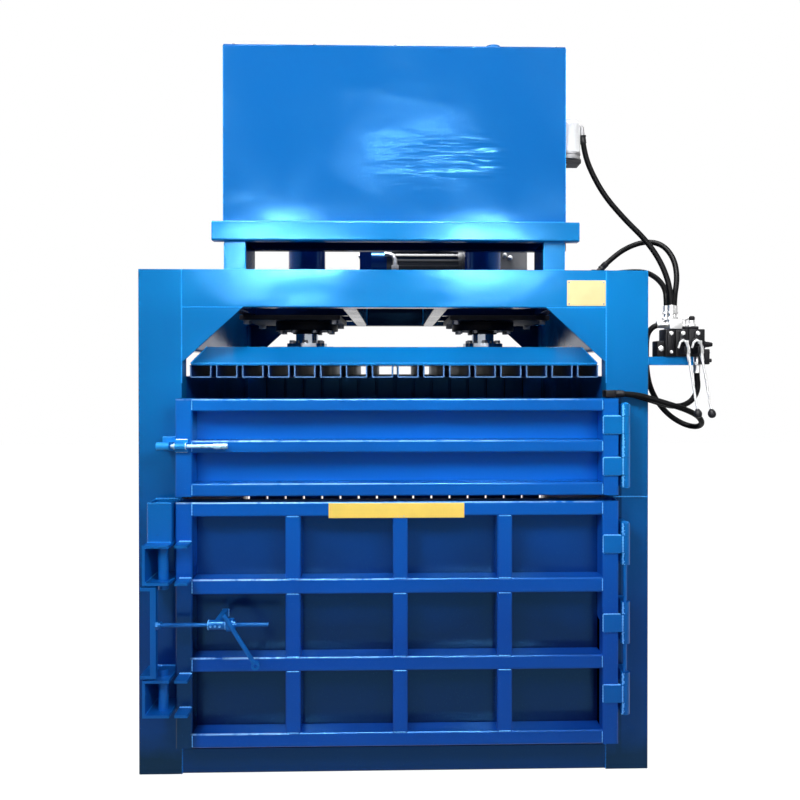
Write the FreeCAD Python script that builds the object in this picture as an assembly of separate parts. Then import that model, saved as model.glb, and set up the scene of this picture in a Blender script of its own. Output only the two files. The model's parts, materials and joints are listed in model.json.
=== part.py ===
import FreeCAD, Part
import math
import os

# Vertical twin-cylinder recycling baler, millimetres.
# Frame: +Z up, X to the right of someone facing the doors, the doors face -Y.
# Origin: on the floor, under the middle of the welded frame.

Vector = FreeCAD.Vector

# ---- driving dimensions ------------------------------------------------------------
WIDTH = 1900.0            # outside to outside of the posts
DEPTH = 1300.0            # front face of the front posts to rear face of the rear posts
FRAME_TOP = 1872.0        # top of posts and crossbeams
POST_W = 160.0            # rolled channel, 160 x 65
POST_D = 65.0
STEEL = 8.0               # wall of the heavy channels
BEAM_H = 140.0            # crossbeam height
CHANNEL_CORNER_R = 5.0    # outer corners of posts and crossbeams
TUBE_CORNER_R = 7.0       # outer corners of rolled tubes
PLATE = 6.0               # chamber wall plate
BASE_H = 96.0             # base beams
FLOOR_T = 12.0            # floor plate, with strap ribs of the same height on it
FLOOR_RIB_W = 60.0
CHAMBER_TOP = 1475.0      # top of side and rear walls
REAR_RAILS = ((108.0, 168.0), (600.0, 660.0), (1290.0, CHAMBER_TOP))
REAR_RAIL_T = 12.0
SIDE_BEAM_BOTTOM = 1572.0
GUSSET_X = 225.0
GUSSET_Z = 205.0
GUSSET_T = 10.0
SIDE_W = 60.0             # side beams, side ribs and base beams
SIDE_RIB_COUNT = 5
JOIST_Y = (-300.0, 0.0, 300.0)

CHANNEL_COUNT = 16        # pressing channels under the platen and in the rear wall
CHANNEL_PITCH = 97.5
CHANNEL_W = 80.0
CHANNEL_T = 5.0
REAR_CHANNEL_D = 40.0
REAR_CHANNEL_W = 88.0     # leaves a strap slot between neighbours

PLATEN_X = 768.0          # half width of the platen
PLATEN_Y = 605.0          # half depth of the platen
PLATEN_BOTTOM = 1470.0
PLATEN_CHANNEL_H = 46.0
PLATEN_DECK_T = 8.0
PLATEN_TOP = 1588.0
PLATEN_INSET = 66.0       # how far the front of the skirt leans in at its top
PLATEN_SIDE_INSET = 46.0  # and its sides
SKIRT_T = 10.0
PLATEN_BEAM_Y = 110.0     # cross beams inside the skirt, either side of the rods
PLATEN_BEAM_W = 80.0
PAD_X = 130.0             # pads under the rods' feet, half sizes
PAD_Y = 150.0

CYLINDER_X = 400.0        # the two cylinders stand at +X and -X
BARREL_R = 82.5
BARREL_BORE_R = 70.0
ROD_R = 50.0
FIT = 0.05                # radial running clearance of shafts, rods and pins

TANK_X = 636.0            # half width of the oil tank
TANK_BACK = -390.0        # its rear face; its front face is in the front plane
TANK_BOTTOM = 2048.0
TANK_TOP = 2705.0
TANK_SHEET = 4.0
BEARER_H = 72.0
LEG_IN = 556.0
LEG_OUT = 634.0

DOOR_LEFT = -792.0        # both doors share their left and right edges
DOOR_RIGHT = 815.0
DOOR_GAP = 2.0            # door frame to the front face of the posts
DOOR_D = 80.0             # depth of the door frame members
DOOR_SKIN = 6.0
DOOR_SKIN_X = 785.0
DOOR_TUBE_T = 5.0
STRIP_X = (-241.0, 250.0)         # bare yellow strip on the lower door
STRIP_Z = (964.0, 1018.0)
STRIP_T = 1.5
BEIGE_X = (642.0, 788.0)          # bare plate on the crossbeam
BEIGE_Z = (1739.0, 1834.0)
BEIGE_T = 2.0
LOWER_Z = (134.0, 1022.0)
UPPER_Z = (1043.0, 1395.0)
STILE_W = 60.0
MULLION_W = 55.0
MULLION_X = (-370.0, 18.0, 398.0)
LOWER_RAILS = ((134.0, 186.0), (409.0, 461.0), (689.0, 744.0), (970.0, 1022.0))
UPPER_RAILS = ((1043.0, 1090.0), (1200.0, 1245.0), (1350.0, 1395.0))

HINGE_X = 841.0           # shared hinge axis of the two doors
HINGE_Y = -722.0
KNUCKLE_R = 17.0
HINGE_PIN_R = 7.0
LEAF_H = 63.0
LEAF_T = 8.0
LUG_W = 24.0              # lugs that carry the frame's knuckles
END_KNUCKLE_L = 44.0
LOWER_HINGE_Z = (319.0, 577.0, 865.0)
UPPER_HINGE_Z = (1148.0, 1299.0)
KNUCKLE_GAP = 0.6

BOLT_Z = 1227.0           # slide bolt of the upper door
BOLT_Y = -752.0
BOLT_R = 7.0
BOLT_X = (-800.0, -650.0, -600.0)         # tip, start of the grip, end of the grip
GRIP_R = 10.0
GUIDE_X = (-790.0, -744.0)
GUIDE_R = 12.5
GUIDE_FOOT_T = 10.0
KEEPER_X = (-851.0, -806.0)
KEEPER_R = 14.5
KEEPER_BORE_R = 10.5
KEEPER_BASE_T = 6.0

LOCK_X = (-890.0, -797.0)         # housings of the lower door's lock, on the left post
LOCK_FRONT = -797.0
LOCK_PAIRS = ((274.0, 406.0), (740.0, 882.0))
LUG_T = 10.0
BLOCK_D = 100.0           # block on the post above the upper housing
DOOR_LUG_X = (-778.0, -732.0)
LOCK_PIN_X = -830.0
LOCK_PIN_Y = -745.0
LOCK_PIN_R = 18.0
PIN_REACH = 24.0          # how far the pins stand out of their housings, for the hooks
HOOK_T = 12.0
HOOK_LIP = 45.0
HOOK_ARM = 24.0
DRAW_BAR_X = (-862.0, -842.0)
SCREW_Y = -791.0
SCREW_Z = 600.0
SCREW_R = 7.0
SCREW_END = -448.0
BOSS_L = 18.0
BOSS_R = 12.0
HUB_X = (-660.0, -595.0)          # the hub on the door that the screw runs through
HUB_R = 17.0
SPIGOT_END = -570.0
SPIGOT_R = 12.0
END_WASHER_T = 6.0
RING_R = 22.0
HANDLE_TOP = (-600.0, 643.0)      # x, z
HANDLE_LOW = (-494.0, 473.0)
HANDLE_EYE = (-489.0, 465.0)
HANDLE_R = 8.0
EYE_R = (15.0, 6.5)

HOSE_R = 10.5

front_y = -DEPTH / 2
rear_y = DEPTH / 2
post_x = WIDTH / 2
opening_x = post_x - POST_W           # half width between the posts
post_back = front_y + POST_D          # rear side of the front posts
beam_bottom = FRAME_TOP - BEAM_H
floor_top = BASE_H + FLOOR_T
door_back = front_y - DOOR_GAP
door_front = door_back - DOOR_D

os.makedirs("parts", exist_ok=True)


# ---- shape helpers -----------------------------------------------------------------
def box(x, y, z):
    """A block from three (low, high) pairs."""
    size = [high - low for low, high in (x, y, z)]
    return Part.makeBox(size[0], size[1], size[2], Vector(x[0], y[0], z[0]))


def bar(start, end, radius):
    """A round bar between two points."""
    way = Vector(*end) - Vector(*start)
    return Part.makeCylinder(radius, way.Length, Vector(*start), way)


def tube(start, end, outer, inner):
    return bar(start, end, outer).cut(bar(start, end, inner))


def prism(points, way):
    """The flat outline through the points, pushed along way."""
    loop = [Vector(*p) for p in points]
    return Part.Face(Part.makePolygon(loop + loop[:1])).extrude(Vector(*way))


def mirrored(shape):
    return shape.mirror(Vector(0, 0, 0), Vector(1, 0, 0))


def turned_back(shape):
    """The same shape on the rear side of the machine."""
    return shape.mirror(Vector(0, 0, 0), Vector(0, 1, 0))


def both_sides(shape):
    return [shape, mirrored(shape)]


def rounded(shape, radius, axis, keep=None):
    """The edges of a block along axis (0, 1 or 2), rounded; keep picks them by their middles."""
    way = Vector(*[float(i == axis) for i in range(3)])
    edges = []
    for edge in shape.Edges:
        run = edge.Vertexes[-1].Point - edge.Vertexes[0].Point
        if run.cross(way).Length < 1e-6 and (keep is None or keep(edge.CenterOfMass)):
            edges.append(edge)
    return shape.makeFillet(radius, edges)


def rect_tube(x, y, z, along, wall):
    """A rolled rectangular tube, open at both ends of the axis named by along."""
    axis = "xyz".index(along)
    inside = [[low + wall, high - wall] for low, high in (x, y, z)]
    inside[axis] = [(x, y, z)[axis][0] - 1, (x, y, z)[axis][1] + 1]
    inner_radius = TUBE_CORNER_R - wall
    hollow = box(*inside)
    if inner_radius > 0:
        hollow = rounded(hollow, inner_radius, axis)
    return rounded(box(x, y, z), TUBE_CORNER_R, axis).cut(hollow)


def save(name, *solids):
    shape = solids[0] if len(solids) == 1 else Part.makeCompound(list(solids))
    if not shape.isValid():
        print("INVALID", name)
    shape.exportStep("parts/" + name + ".step")
    print(name, len(shape.Solids), "solids", round(shape.Volume / 1000, 1), "cm3")


# ---- welded main frame -------------------------------------------------------------
def post(height):
    """Right front post: channel with its web to the front."""
    outside = box((opening_x, post_x), (front_y, post_back), (0, height))
    outside = rounded(outside, CHANNEL_CORNER_R, 2,
                      lambda middle: middle.y < front_y + 1 and middle.x > post_x - 1)
    hollow_x = (opening_x + STEEL, post_x - STEEL)
    return outside.cut(box(hollow_x, (front_y + STEEL, post_back + 1), (-1, height + 1)))


def crossbeam():
    y = (front_y, post_back)
    outside = box((-opening_x, opening_x), y, (beam_bottom, FRAME_TOP))
    outside = rounded(outside, CHANNEL_CORNER_R, 0,
                      lambda middle: middle.y < front_y + 1 and middle.z < beam_bottom + 1)
    hollow_z = (beam_bottom + STEEL, FRAME_TOP - STEEL)
    return outside.cut(box((-opening_x - 1, opening_x + 1), (front_y + STEEL, post_back + 1), hollow_z))


def gusset():
    """Right front corner plate, flush with the front of post and crossbeam."""
    corner = (opening_x, front_y, beam_bottom)
    along_beam = (opening_x - GUSSET_X, front_y, beam_bottom)
    down_post = (opening_x, front_y, beam_bottom - GUSSET_Z)
    return prism([corner, along_beam, down_post], (0, GUSSET_T, 0))


def main_frame():
    front_posts = both_sides(post(FRAME_TOP))
    save("front_posts", *front_posts)
    save("rear_posts", *[turned_back(p) for p in front_posts])
    front = crossbeam()
    save("crossbeams", front, turned_back(front))
    corners = both_sides(gusset())
    save("gussets", *corners, *[turned_back(g) for g in corners])

    between_posts = (post_back, -post_back)
    side = box((opening_x, opening_x + SIDE_W), between_posts, (SIDE_BEAM_BOTTOM, FRAME_TOP))
    hollow = box((opening_x + STEEL, opening_x + SIDE_W + 1), (post_back - 1, -post_back + 1),
                 (SIDE_BEAM_BOTTOM + STEEL, FRAME_TOP - STEEL))
    save("side_beams", *both_sides(side.cut(hollow)))

    wall = box((opening_x, opening_x + PLATE), between_posts, (BASE_H, CHAMBER_TOP))
    ribs = []
    step = (CHAMBER_TOP - BASE_H - SIDE_W) / (SIDE_RIB_COUNT - 1)
    for i in range(SIDE_RIB_COUNT):
        low = BASE_H + i * step
        ribs.append(rect_tube((opening_x + PLATE, opening_x + PLATE + SIDE_W), between_posts,
                              (low, low + SIDE_W), "y", DOOR_TUBE_T))
    save("side_walls", *[m for s in [wall] + ribs for m in both_sides(s)])


def channel_middles():
    first = -(CHANNEL_COUNT - 1) * CHANNEL_PITCH / 2
    return [first + i * CHANNEL_PITCH for i in range(CHANNEL_COUNT)]


def rear_wall():
    """Upright channels with strap slots between them, tied by three flat rails."""
    y = (rear_y - REAR_CHANNEL_D, rear_y)
    z = (floor_top, CHAMBER_TOP)
    solids = []
    half = REAR_CHANNEL_W / 2
    for x in channel_middles():
        outside = rounded(box((x - half, x + half), y, z), CHANNEL_T, 2, lambda middle: middle.y < y[0] + 1)
        hollow_x = (x - half + CHANNEL_T, x + half - CHANNEL_T)
        solids.append(outside.cut(box(hollow_x, (y[0] + CHANNEL_T, y[1] + 1), (z[0] - 1, z[1] + 1))))
    for rail_z in REAR_RAILS:
        solids.append(box((-post_x + 20, post_x - 20), (rear_y, rear_y + REAR_RAIL_T), rail_z))
    save("rear_wall", *solids)


def base_and_floor():
    front = rect_tube((-opening_x, opening_x), (front_y + 2, post_back), (0, BASE_H), "x", STEEL)
    side = rect_tube((opening_x, opening_x + SIDE_W), (post_back, -post_back), (0, BASE_H), "y", STEEL)
    joists = []
    for middle in JOIST_Y:
        y = (middle - SIDE_W / 2, middle + SIDE_W / 2)
        joists.append(rect_tube((-opening_x, opening_x), y, (0, BASE_H), "x", STEEL))
    save("base_beams", front, turned_back(front), *both_sides(side), *joists)

    floor_y = (front_y + 4, rear_y - REAR_CHANNEL_D - 1)
    solids = [box((-opening_x + 2, opening_x - 2), floor_y, (BASE_H, floor_top))]
    rib_z = (floor_top, floor_top + FLOOR_T)
    for x in channel_middles():
        solids.append(box((x - FLOOR_RIB_W / 2, x + FLOOR_RIB_W / 2), (front_y + 60, floor_y[1]), rib_z))
    save("floor_plate", *solids)


# ---- press: beams, cylinders and platen --------------------------------------------
BEAM_W = 55.0
BEAM_OFFSET = 223.0       # cylinder axis to the middle of each of its two beams
MOUNT_Z = (beam_bottom - 20.0, beam_bottom)
MOUNT_X = (235.0, 661.0)  # mount plate of the right cylinder, clear of the inner beam
MOUNT_Y = 230.0
TIE_Y = (150.0, 210.0)    # cross ties that carry the mount plates between the beams
GLAND_Z = (MOUNT_Z[0] - 38.0, MOUNT_Z[0])
GLAND_R = 140.0
GLAND_PITCH_R = 118.0
GLAND_BOLT_R = 8.0
GLAND_HEAD = 12.0
BARREL_TOP = 2872.0
CAP_T = 30.0
PORT_DROP = 60.0          # oil port below the top of the barrel
PORT_REACH = 26.0
PORT_R = 18.0
PORT_BORE_R = 7.0
PISTON_Z = (2780.0, 2835.0)
FOOT_Z = (1600.0, 1618.0)
FOOT_R = 90.0
BOLT_COUNT = 8


def gland_ring(centre_x):
    """Bolts up through a gland, each with a round head below it."""
    head_z = (GLAND_Z[0] - GLAND_HEAD, GLAND_Z[0])
    bolts = []
    for i in range(BOLT_COUNT):
        angle = 2 * math.pi * (i + 0.5) / BOLT_COUNT
        x = centre_x + GLAND_PITCH_R * math.cos(angle)
        y = GLAND_PITCH_R * math.sin(angle)
        shank = bar((x, y, head_z[0]), (x, y, GLAND_Z[1]), GLAND_BOLT_R)
        bolts.append(shank.fuse(bar((x, y, head_z[0]), (x, y, head_z[1]), 1.7 * GLAND_BOLT_R)))
    return bolts


def cylinders():
    beams = []
    for offset in (-BEAM_OFFSET, BEAM_OFFSET):
        x = CYLINDER_X + offset
        beams.append(rect_tube((x - BEAM_W / 2, x + BEAM_W / 2), (post_back, -post_back),
                               (beam_bottom, FRAME_TOP), "y", STEEL))
    tie_x = (CYLINDER_X - BEAM_OFFSET + BEAM_W / 2, CYLINDER_X + BEAM_OFFSET - BEAM_W / 2)
    tie = rect_tube(tie_x, TIE_Y, (beam_bottom, beam_bottom + 60), "x", STEEL)
    beams += [tie, turned_back(tie)]
    save("cylinder_beams", *[m for b in beams for m in both_sides(b)])

    mounts = []
    bolts = []
    barrels = []
    for x in (-CYLINDER_X, CYLINDER_X):
        plate_x = MOUNT_X if x > 0 else (-MOUNT_X[1], -MOUNT_X[0])
        plate = box(plate_x, (-MOUNT_Y, MOUNT_Y), MOUNT_Z)
        mounts.append(plate.cut(bar((x, 0, MOUNT_Z[0] - 1), (x, 0, MOUNT_Z[1] + 1), BARREL_R + 0.2)))
        gland = bar((x, 0, GLAND_Z[0]), (x, 0, GLAND_Z[1]), GLAND_R)
        gland = gland.cut(bar((x, 0, GLAND_Z[0] - 1), (x, 0, GLAND_Z[1] + 1), ROD_R + FIT))
        ring = gland_ring(x)
        for bolt in ring:
            gland = gland.cut(bolt)
        mounts.append(gland)
        bolts += ring
        barrel = bar((x, 0, MOUNT_Z[0]), (x, 0, BARREL_TOP), BARREL_R)
        barrel = barrel.cut(bar((x, 0, MOUNT_Z[0] - 1), (x, 0, BARREL_TOP - CAP_T), BARREL_BORE_R))
        port_z = BARREL_TOP - PORT_DROP
        port_end = -BARREL_R - PORT_REACH
        port = bar((x, -BARREL_R + 6, port_z), (x, port_end, port_z), PORT_R)
        barrels.append(barrel.fuse(port.cut(bar((x, 0, port_z), (x, port_end - 1, port_z), PORT_BORE_R))))
    save("cylinder_mounts", *mounts)
    save("gland_bolts", *bolts)
    save("cylinder_barrels", *barrels)

    rods = []
    for x in (-CYLINDER_X, CYLINDER_X):
        shaft = bar((x, 0, FOOT_Z[1]), (x, 0, PISTON_Z[0] + 10), ROD_R)
        piston = bar((x, 0, PISTON_Z[0]), (x, 0, PISTON_Z[1]), BARREL_BORE_R - FIT)
        foot = bar((x, 0, FOOT_Z[0]), (x, 0, FOOT_Z[1]), FOOT_R)
        rods.append(shaft.fuse(piston).fuse(foot).removeSplitter())
    save("piston_rods", *rods)


def platen():
    y = (-PLATEN_Y, PLATEN_Y)
    z = (PLATEN_BOTTOM, PLATEN_BOTTOM + PLATEN_CHANNEL_H)
    channels = []
    half = CHANNEL_W / 2
    for x in channel_middles():
        outside = rounded(box((x - half, x + half), y, z), CHANNEL_T, 1, lambda middle: middle.z < z[0] + 1)
        hollow_x = (x - half + CHANNEL_T, x + half - CHANNEL_T)
        channels.append(outside.cut(box(hollow_x, (y[0] - 1, y[1] + 1), (z[0] + CHANNEL_T, z[1] + 1))))
    save("platen_channels", *channels)

    deck_z = (z[1], z[1] + PLATEN_DECK_T)
    save("platen_deck", box((-PLATEN_X, PLATEN_X), y, deck_z))

    # four leaning plates, mitred at the corners
    low, high = deck_z[1], PLATEN_TOP
    thick = SKIRT_T

    def front_section(x_low, x_high):
        return [(-x_low, -PLATEN_Y, low), (x_low, -PLATEN_Y, low),
                (x_high, -PLATEN_Y + PLATEN_INSET, high), (-x_high, -PLATEN_Y + PLATEN_INSET, high)]

    top_x = PLATEN_X - PLATEN_SIDE_INSET
    front = prism(front_section(PLATEN_X, top_x), (0, thick, 0))
    side_outline = [(PLATEN_X, -PLATEN_Y + thick, low), (PLATEN_X, PLATEN_Y - thick, low),
                    (top_x, PLATEN_Y - PLATEN_INSET - thick, high),
                    (top_x, -PLATEN_Y + PLATEN_INSET + thick, high)]
    side = prism(side_outline, (-thick, 0, 0))
    save("platen_skirt", front, turned_back(front), *both_sides(side))

    beams = []
    beam_x = (-PLATEN_X + 90, PLATEN_X - 90)
    for middle in (-PLATEN_BEAM_Y, PLATEN_BEAM_Y):
        beam_y = (middle - PLATEN_BEAM_W / 2, middle + PLATEN_BEAM_W / 2)
        beams.append(rect_tube(beam_x, beam_y, (low, PLATEN_TOP), "x", STEEL))
    for x in (-CYLINDER_X, CYLINDER_X):
        beams.append(box((x - PAD_X, x + PAD_X), (-PAD_Y, PAD_Y), (PLATEN_TOP, FOOT_Z[0])))
    save("platen_beams", *beams)


# ---- oil tank and power unit -------------------------------------------------------
FILTER_X = 682.0
FILTER_Y = -500.0
FILTER_SEAT_Y = 38.0      # half width of the bracket under the filter
FILTER_Z = (2302.0, 2318.0, 2482.0)      # bracket, underside and top of the canister
FILTER_R = 45.0
MOTOR_Y = 250.0
MOTOR_Z = 2016.0
MOTOR_X = (-40.0, 320.0)
MOTOR_R = 110.0
SHAFT_R = 14.0
FIN_COUNT = 28
FIN_T = 4.0
COVER_L = 62.0            # fan cover
COVER_T = 4.0
FAN_R = 96.0
FAN_BLADES = 7
CORE_R = 56.0
BELL_L = 62.0
BELL_R = 90.0
BELL_WALL = 15.0
FLANGE_T = 10.0
PUMP_L = 58.0
PUMP_HALF_Y = 48.0
PUMP_HALF_Z = 70.0
UNIT_PLATE_X = (-230.0, 665.0)
UNIT_PLATE_Y = (110.0, 400.0)
UNIT_PLATE_Z = (FRAME_TOP, FRAME_TOP + 12.0)
STARTER_X = (448.0, 640.0)
STARTER_Y = (210.0, 385.0)
STARTER_H = 246.0
STARTER_DOOR_T = 4.0
BREATHER_X = 380.0
BREATHER_NECK = (38.0, 12.0)              # radius, height
BREATHER_CAP = (30.0, 50.0)
LEG_Y = (front_y + 5, front_y + 205)
BEARER_X = (-675.0, 684.0)
BEARER_W = 50.0
BEARER_OVERHANG = 22.0    # how far the front bearer stands in front of the posts


def tank():
    leg = box((LEG_IN, LEG_OUT), LEG_Y, (FRAME_TOP, TANK_BOTTOM - BEARER_H))
    hollow_y = (LEG_Y[0] + STEEL, LEG_Y[1] + 1)
    hollow = box((LEG_IN + STEEL, LEG_OUT - STEEL), hollow_y, (FRAME_TOP - 1, TANK_BOTTOM))
    bearer_z = (TANK_BOTTOM - BEARER_H, TANK_BOTTOM)
    front_bearer_y = (front_y - BEARER_OVERHANG, front_y - BEARER_OVERHANG + BEARER_W)
    front = rect_tube(BEARER_X, front_bearer_y, bearer_z, "x", DOOR_TUBE_T)
    back = rect_tube(BEARER_X, (TANK_BACK - BEARER_W, TANK_BACK), bearer_z, "x", DOOR_TUBE_T)
    save("tank_stand", *both_sides(leg.cut(hollow)), front, back)

    outside = box((-TANK_X, TANK_X), (front_y, TANK_BACK), (TANK_BOTTOM, TANK_TOP - TANK_SHEET))
    inside = box((-TANK_X + TANK_SHEET, TANK_X - TANK_SHEET), (front_y + TANK_SHEET, TANK_BACK - TANK_SHEET),
                 (TANK_BOTTOM + TANK_SHEET, TANK_TOP))
    save("oil_tank", outside.cut(inside))

    lid = box((-TANK_X, TANK_X), (front_y, TANK_BACK), (TANK_TOP - TANK_SHEET, TANK_TOP))
    middle_y = (front_y + TANK_BACK) / 2
    neck_r, neck_h = BREATHER_NECK
    cap_r, cap_h = BREATHER_CAP
    breather = bar((BREATHER_X, middle_y, TANK_TOP), (BREATHER_X, middle_y, TANK_TOP + neck_h), neck_r)
    cap = bar((BREATHER_X, middle_y, TANK_TOP + neck_h), (BREATHER_X, middle_y, TANK_TOP + cap_h), cap_r)
    save("tank_lid", lid, breather.fuse(cap))

    seat_y = (FILTER_Y - FILTER_SEAT_Y, FILTER_Y + FILTER_SEAT_Y)
    bracket = box((TANK_X, FILTER_X + FILTER_R - 5), seat_y, FILTER_Z[:2])
    save("filter_bracket", bracket)
    canister = bar((FILTER_X, FILTER_Y, FILTER_Z[1]), (FILTER_X, FILTER_Y, FILTER_Z[2]), FILTER_R)
    top_edge = [e for e in canister.Edges if abs(e.BoundBox.ZMin - FILTER_Z[2]) < 1e-6]
    canister = canister.makeFillet(20.0, top_edge)
    save("return_filter", canister)


def on_shaft(start, end, radius):
    """A round form on the motor's axis, which lies along X."""
    return bar((start, MOTOR_Y, MOTOR_Z), (end, MOTOR_Y, MOTOR_Z), radius)


def around_shaft(shape, count):
    """Copies of a shape turned evenly about the motor's axis."""
    copies = []
    for i in range(count):
        copy = shape.copy()
        copy.rotate(Vector(0, MOTOR_Y, MOTOR_Z), Vector(1, 0, 0), 360.0 * i / count)
        copies.append(copy)
    return copies


def power_unit():
    deck = UNIT_PLATE_Z[1]
    save("power_unit_plate", box(UNIT_PLATE_X, UNIT_PLATE_Y, UNIT_PLATE_Z))
    cabinet = box(STARTER_X, STARTER_Y, (deck, deck + STARTER_H))
    front = box((STARTER_X[0] + 8, STARTER_X[1] - 8), (STARTER_Y[0] - STARTER_DOOR_T, STARTER_Y[0]),
                (deck + 10, deck + STARTER_H - 10))
    save("starter_box", rounded(cabinet, 6.0, 2), front)

    # flanged motor lying along X: ribbed body on feet, and a fan cover
    start, end = MOTOR_X
    body = on_shaft(start, end, MOTOR_R - 12)
    fin = box((start + 25, end - 20), (MOTOR_Y - FIN_T / 2, MOTOR_Y + FIN_T / 2),
              (MOTOR_Z + MOTOR_R - 14, MOTOR_Z + MOTOR_R))
    for copy in around_shaft(fin, FIN_COUNT):
        body = body.fuse(copy)
    foot_x = (start + 60, end - 60)
    body = body.fuse(box(foot_x, (MOTOR_Y - 95, MOTOR_Y + 95), (deck, deck + 14)))
    body = body.fuse(box(foot_x, (MOTOR_Y - 70, MOTOR_Y + 70), (deck + 13, MOTOR_Z)))
    body = body.cut(on_shaft(start + 30, end - 30, CORE_R + 4))
    body = body.cut(on_shaft(start - 1, end + 1, SHAFT_R + FIT))
    cover_end = end + COVER_L
    cover = on_shaft(end, cover_end, MOTOR_R).cut(on_shaft(end - 1, cover_end + 1, MOTOR_R - COVER_T))
    grille = on_shaft(cover_end, cover_end + COVER_T, MOTOR_R)
    slot = box((cover_end - 1, cover_end + COVER_T + 1), (MOTOR_Y - 4, MOTOR_Y + 4),
               (MOTOR_Z + 30, MOTOR_Z + 90))
    for copy in around_shaft(slot, 12):
        grille = grille.cut(copy)
    save("motor_housing", body, cover.fuse(grille))

    fan_x = (end + 14, end + 40)
    rotor = on_shaft(start - 50, end + 45, SHAFT_R)
    rotor = rotor.fuse(on_shaft(start + 45, end - 45, CORE_R)).fuse(on_shaft(fan_x[0], fan_x[1], 34.0))
    blade = box((fan_x[0] + 2, fan_x[1] - 2), (MOTOR_Y - 2, MOTOR_Y + 2), (MOTOR_Z + 30, MOTOR_Z + FAN_R))
    for copy in around_shaft(blade, FAN_BLADES):
        rotor = rotor.fuse(copy)
    save("motor_rotor", rotor)

    bell_end = start - BELL_L
    bell = on_shaft(bell_end, start, BELL_R).cut(on_shaft(bell_end - 1, start + 1, BELL_R - BELL_WALL))
    pump_end = bell_end - FLANGE_T
    save("coupling_housing", bell.fuse(on_shaft(pump_end, bell_end, BELL_R)))
    pump = box((pump_end - PUMP_L, pump_end), (MOTOR_Y - PUMP_HALF_Y, MOTOR_Y + PUMP_HALF_Y),
               (MOTOR_Z - PUMP_HALF_Z, MOTOR_Z + PUMP_HALF_Z))
    pump = rounded(pump, 14.0, 0)
    port_x = pump_end - PUMP_L / 2
    port_z = MOTOR_Z + PUMP_HALF_Z
    save("gear_pump", pump.fuse(bar((port_x, MOTOR_Y, port_z - 1), (port_x, MOTOR_Y, port_z + 18), 20.0)))


# ---- doors -------------------------------------------------------------------------
def door_frame(rails, mullions):
    """Stiles full height, rails between them, short mullions between the rails."""
    low, high = rails[0][0], rails[-1][1]
    y = (door_front, door_back)
    solids = [rect_tube((DOOR_LEFT, DOOR_LEFT + STILE_W), y, (low, high), "z", DOOR_TUBE_T),
              rect_tube((DOOR_RIGHT - STILE_W, DOOR_RIGHT), y, (low, high), "z", DOOR_TUBE_T)]
    for rail in rails:
        solids.append(rect_tube((DOOR_LEFT + STILE_W, DOOR_RIGHT - STILE_W), y, rail, "x", DOOR_TUBE_T))
    for below, above in zip(rails, rails[1:]):
        for middle in mullions:
            x = (middle - MULLION_W / 2, middle + MULLION_W / 2)
            solids.append(rect_tube(x, y, (below[1], above[0]), "z", DOOR_TUBE_T))
    return solids


def door_skin(z):
    return box((-DOOR_SKIN_X, DOOR_SKIN_X), (door_back, door_back + DOOR_SKIN), (z[0] + 3, z[1] - 3))


def knuckle(low, high):
    return tube((HINGE_X, HINGE_Y, low), (HINGE_X, HINGE_Y, high), KNUCKLE_R, HINGE_PIN_R + FIT)


def door_knuckles(centres):
    """A knuckle with its leaf plate lying on the front of the right stile."""
    solids = []
    for z in centres:
        low, high = z - LEAF_H / 2, z + LEAF_H / 2
        leaf = box((DOOR_RIGHT - STILE_W + 3, HINGE_X), (door_front - LEAF_T, door_front), (low, high))
        leaf = leaf.cut(bar((HINGE_X, HINGE_Y, low - 1), (HINGE_X, HINGE_Y, high + 1), KNUCKLE_R - 2))
        solids.append(leaf.fuse(knuckle(low, high)))
    return solids


def frame_knuckle(low, high):
    """A knuckle with the lug that carries it off the right post."""
    lug = box((HINGE_X - LUG_W / 2, HINGE_X + LUG_W / 2), (HINGE_Y, front_y), (low, high))
    lug = lug.cut(bar((HINGE_X, HINGE_Y, low - 1), (HINGE_X, HINGE_Y, high + 1), KNUCKLE_R - 2))
    return lug.fuse(knuckle(low, high))


def hinges():
    spans = []
    for z in LOWER_HINGE_Z:
        for sign in (-1, 1):
            near = z + sign * (LEAF_H / 2 + KNUCKLE_GAP)
            spans.append(sorted((near, near + sign * END_KNUCKLE_L)))
    bottom, top = UPPER_HINGE_Z
    reach = LEAF_H / 2 + KNUCKLE_GAP
    spans += [(bottom - reach - END_KNUCKLE_L, bottom - reach), (bottom + reach, top - reach),
              (top + reach, top + reach + END_KNUCKLE_L)]
    save("hinge_frame_knuckles", *[frame_knuckle(low, high) for low, high in spans])

    pins = []
    for centres in (LOWER_HINGE_Z, UPPER_HINGE_Z):
        ends = (centres[0] - reach - END_KNUCKLE_L - 4, centres[-1] + reach + END_KNUCKLE_L + 4)
        pins.append(bar((HINGE_X, HINGE_Y, ends[0]), (HINGE_X, HINGE_Y, ends[1]), HINGE_PIN_R))
    save("hinge_pins", *pins)


def doors():
    save("lower_door_frame", *door_frame(LOWER_RAILS, MULLION_X))
    save("lower_door_skin", door_skin(LOWER_Z))
    save("lower_door_knuckles", *door_knuckles(LOWER_HINGE_Z))
    save("upper_door_frame", *door_frame(UPPER_RAILS, ()))
    save("upper_door_skin", door_skin(UPPER_Z))
    save("upper_door_knuckles", *door_knuckles(UPPER_HINGE_Z))
    save("yellow_strip", box(STRIP_X, (door_front - STRIP_T, door_front), STRIP_Z))
    save("blank_plate", box(BEIGE_X, (front_y - BEIGE_T, front_y), BEIGE_Z))


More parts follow.
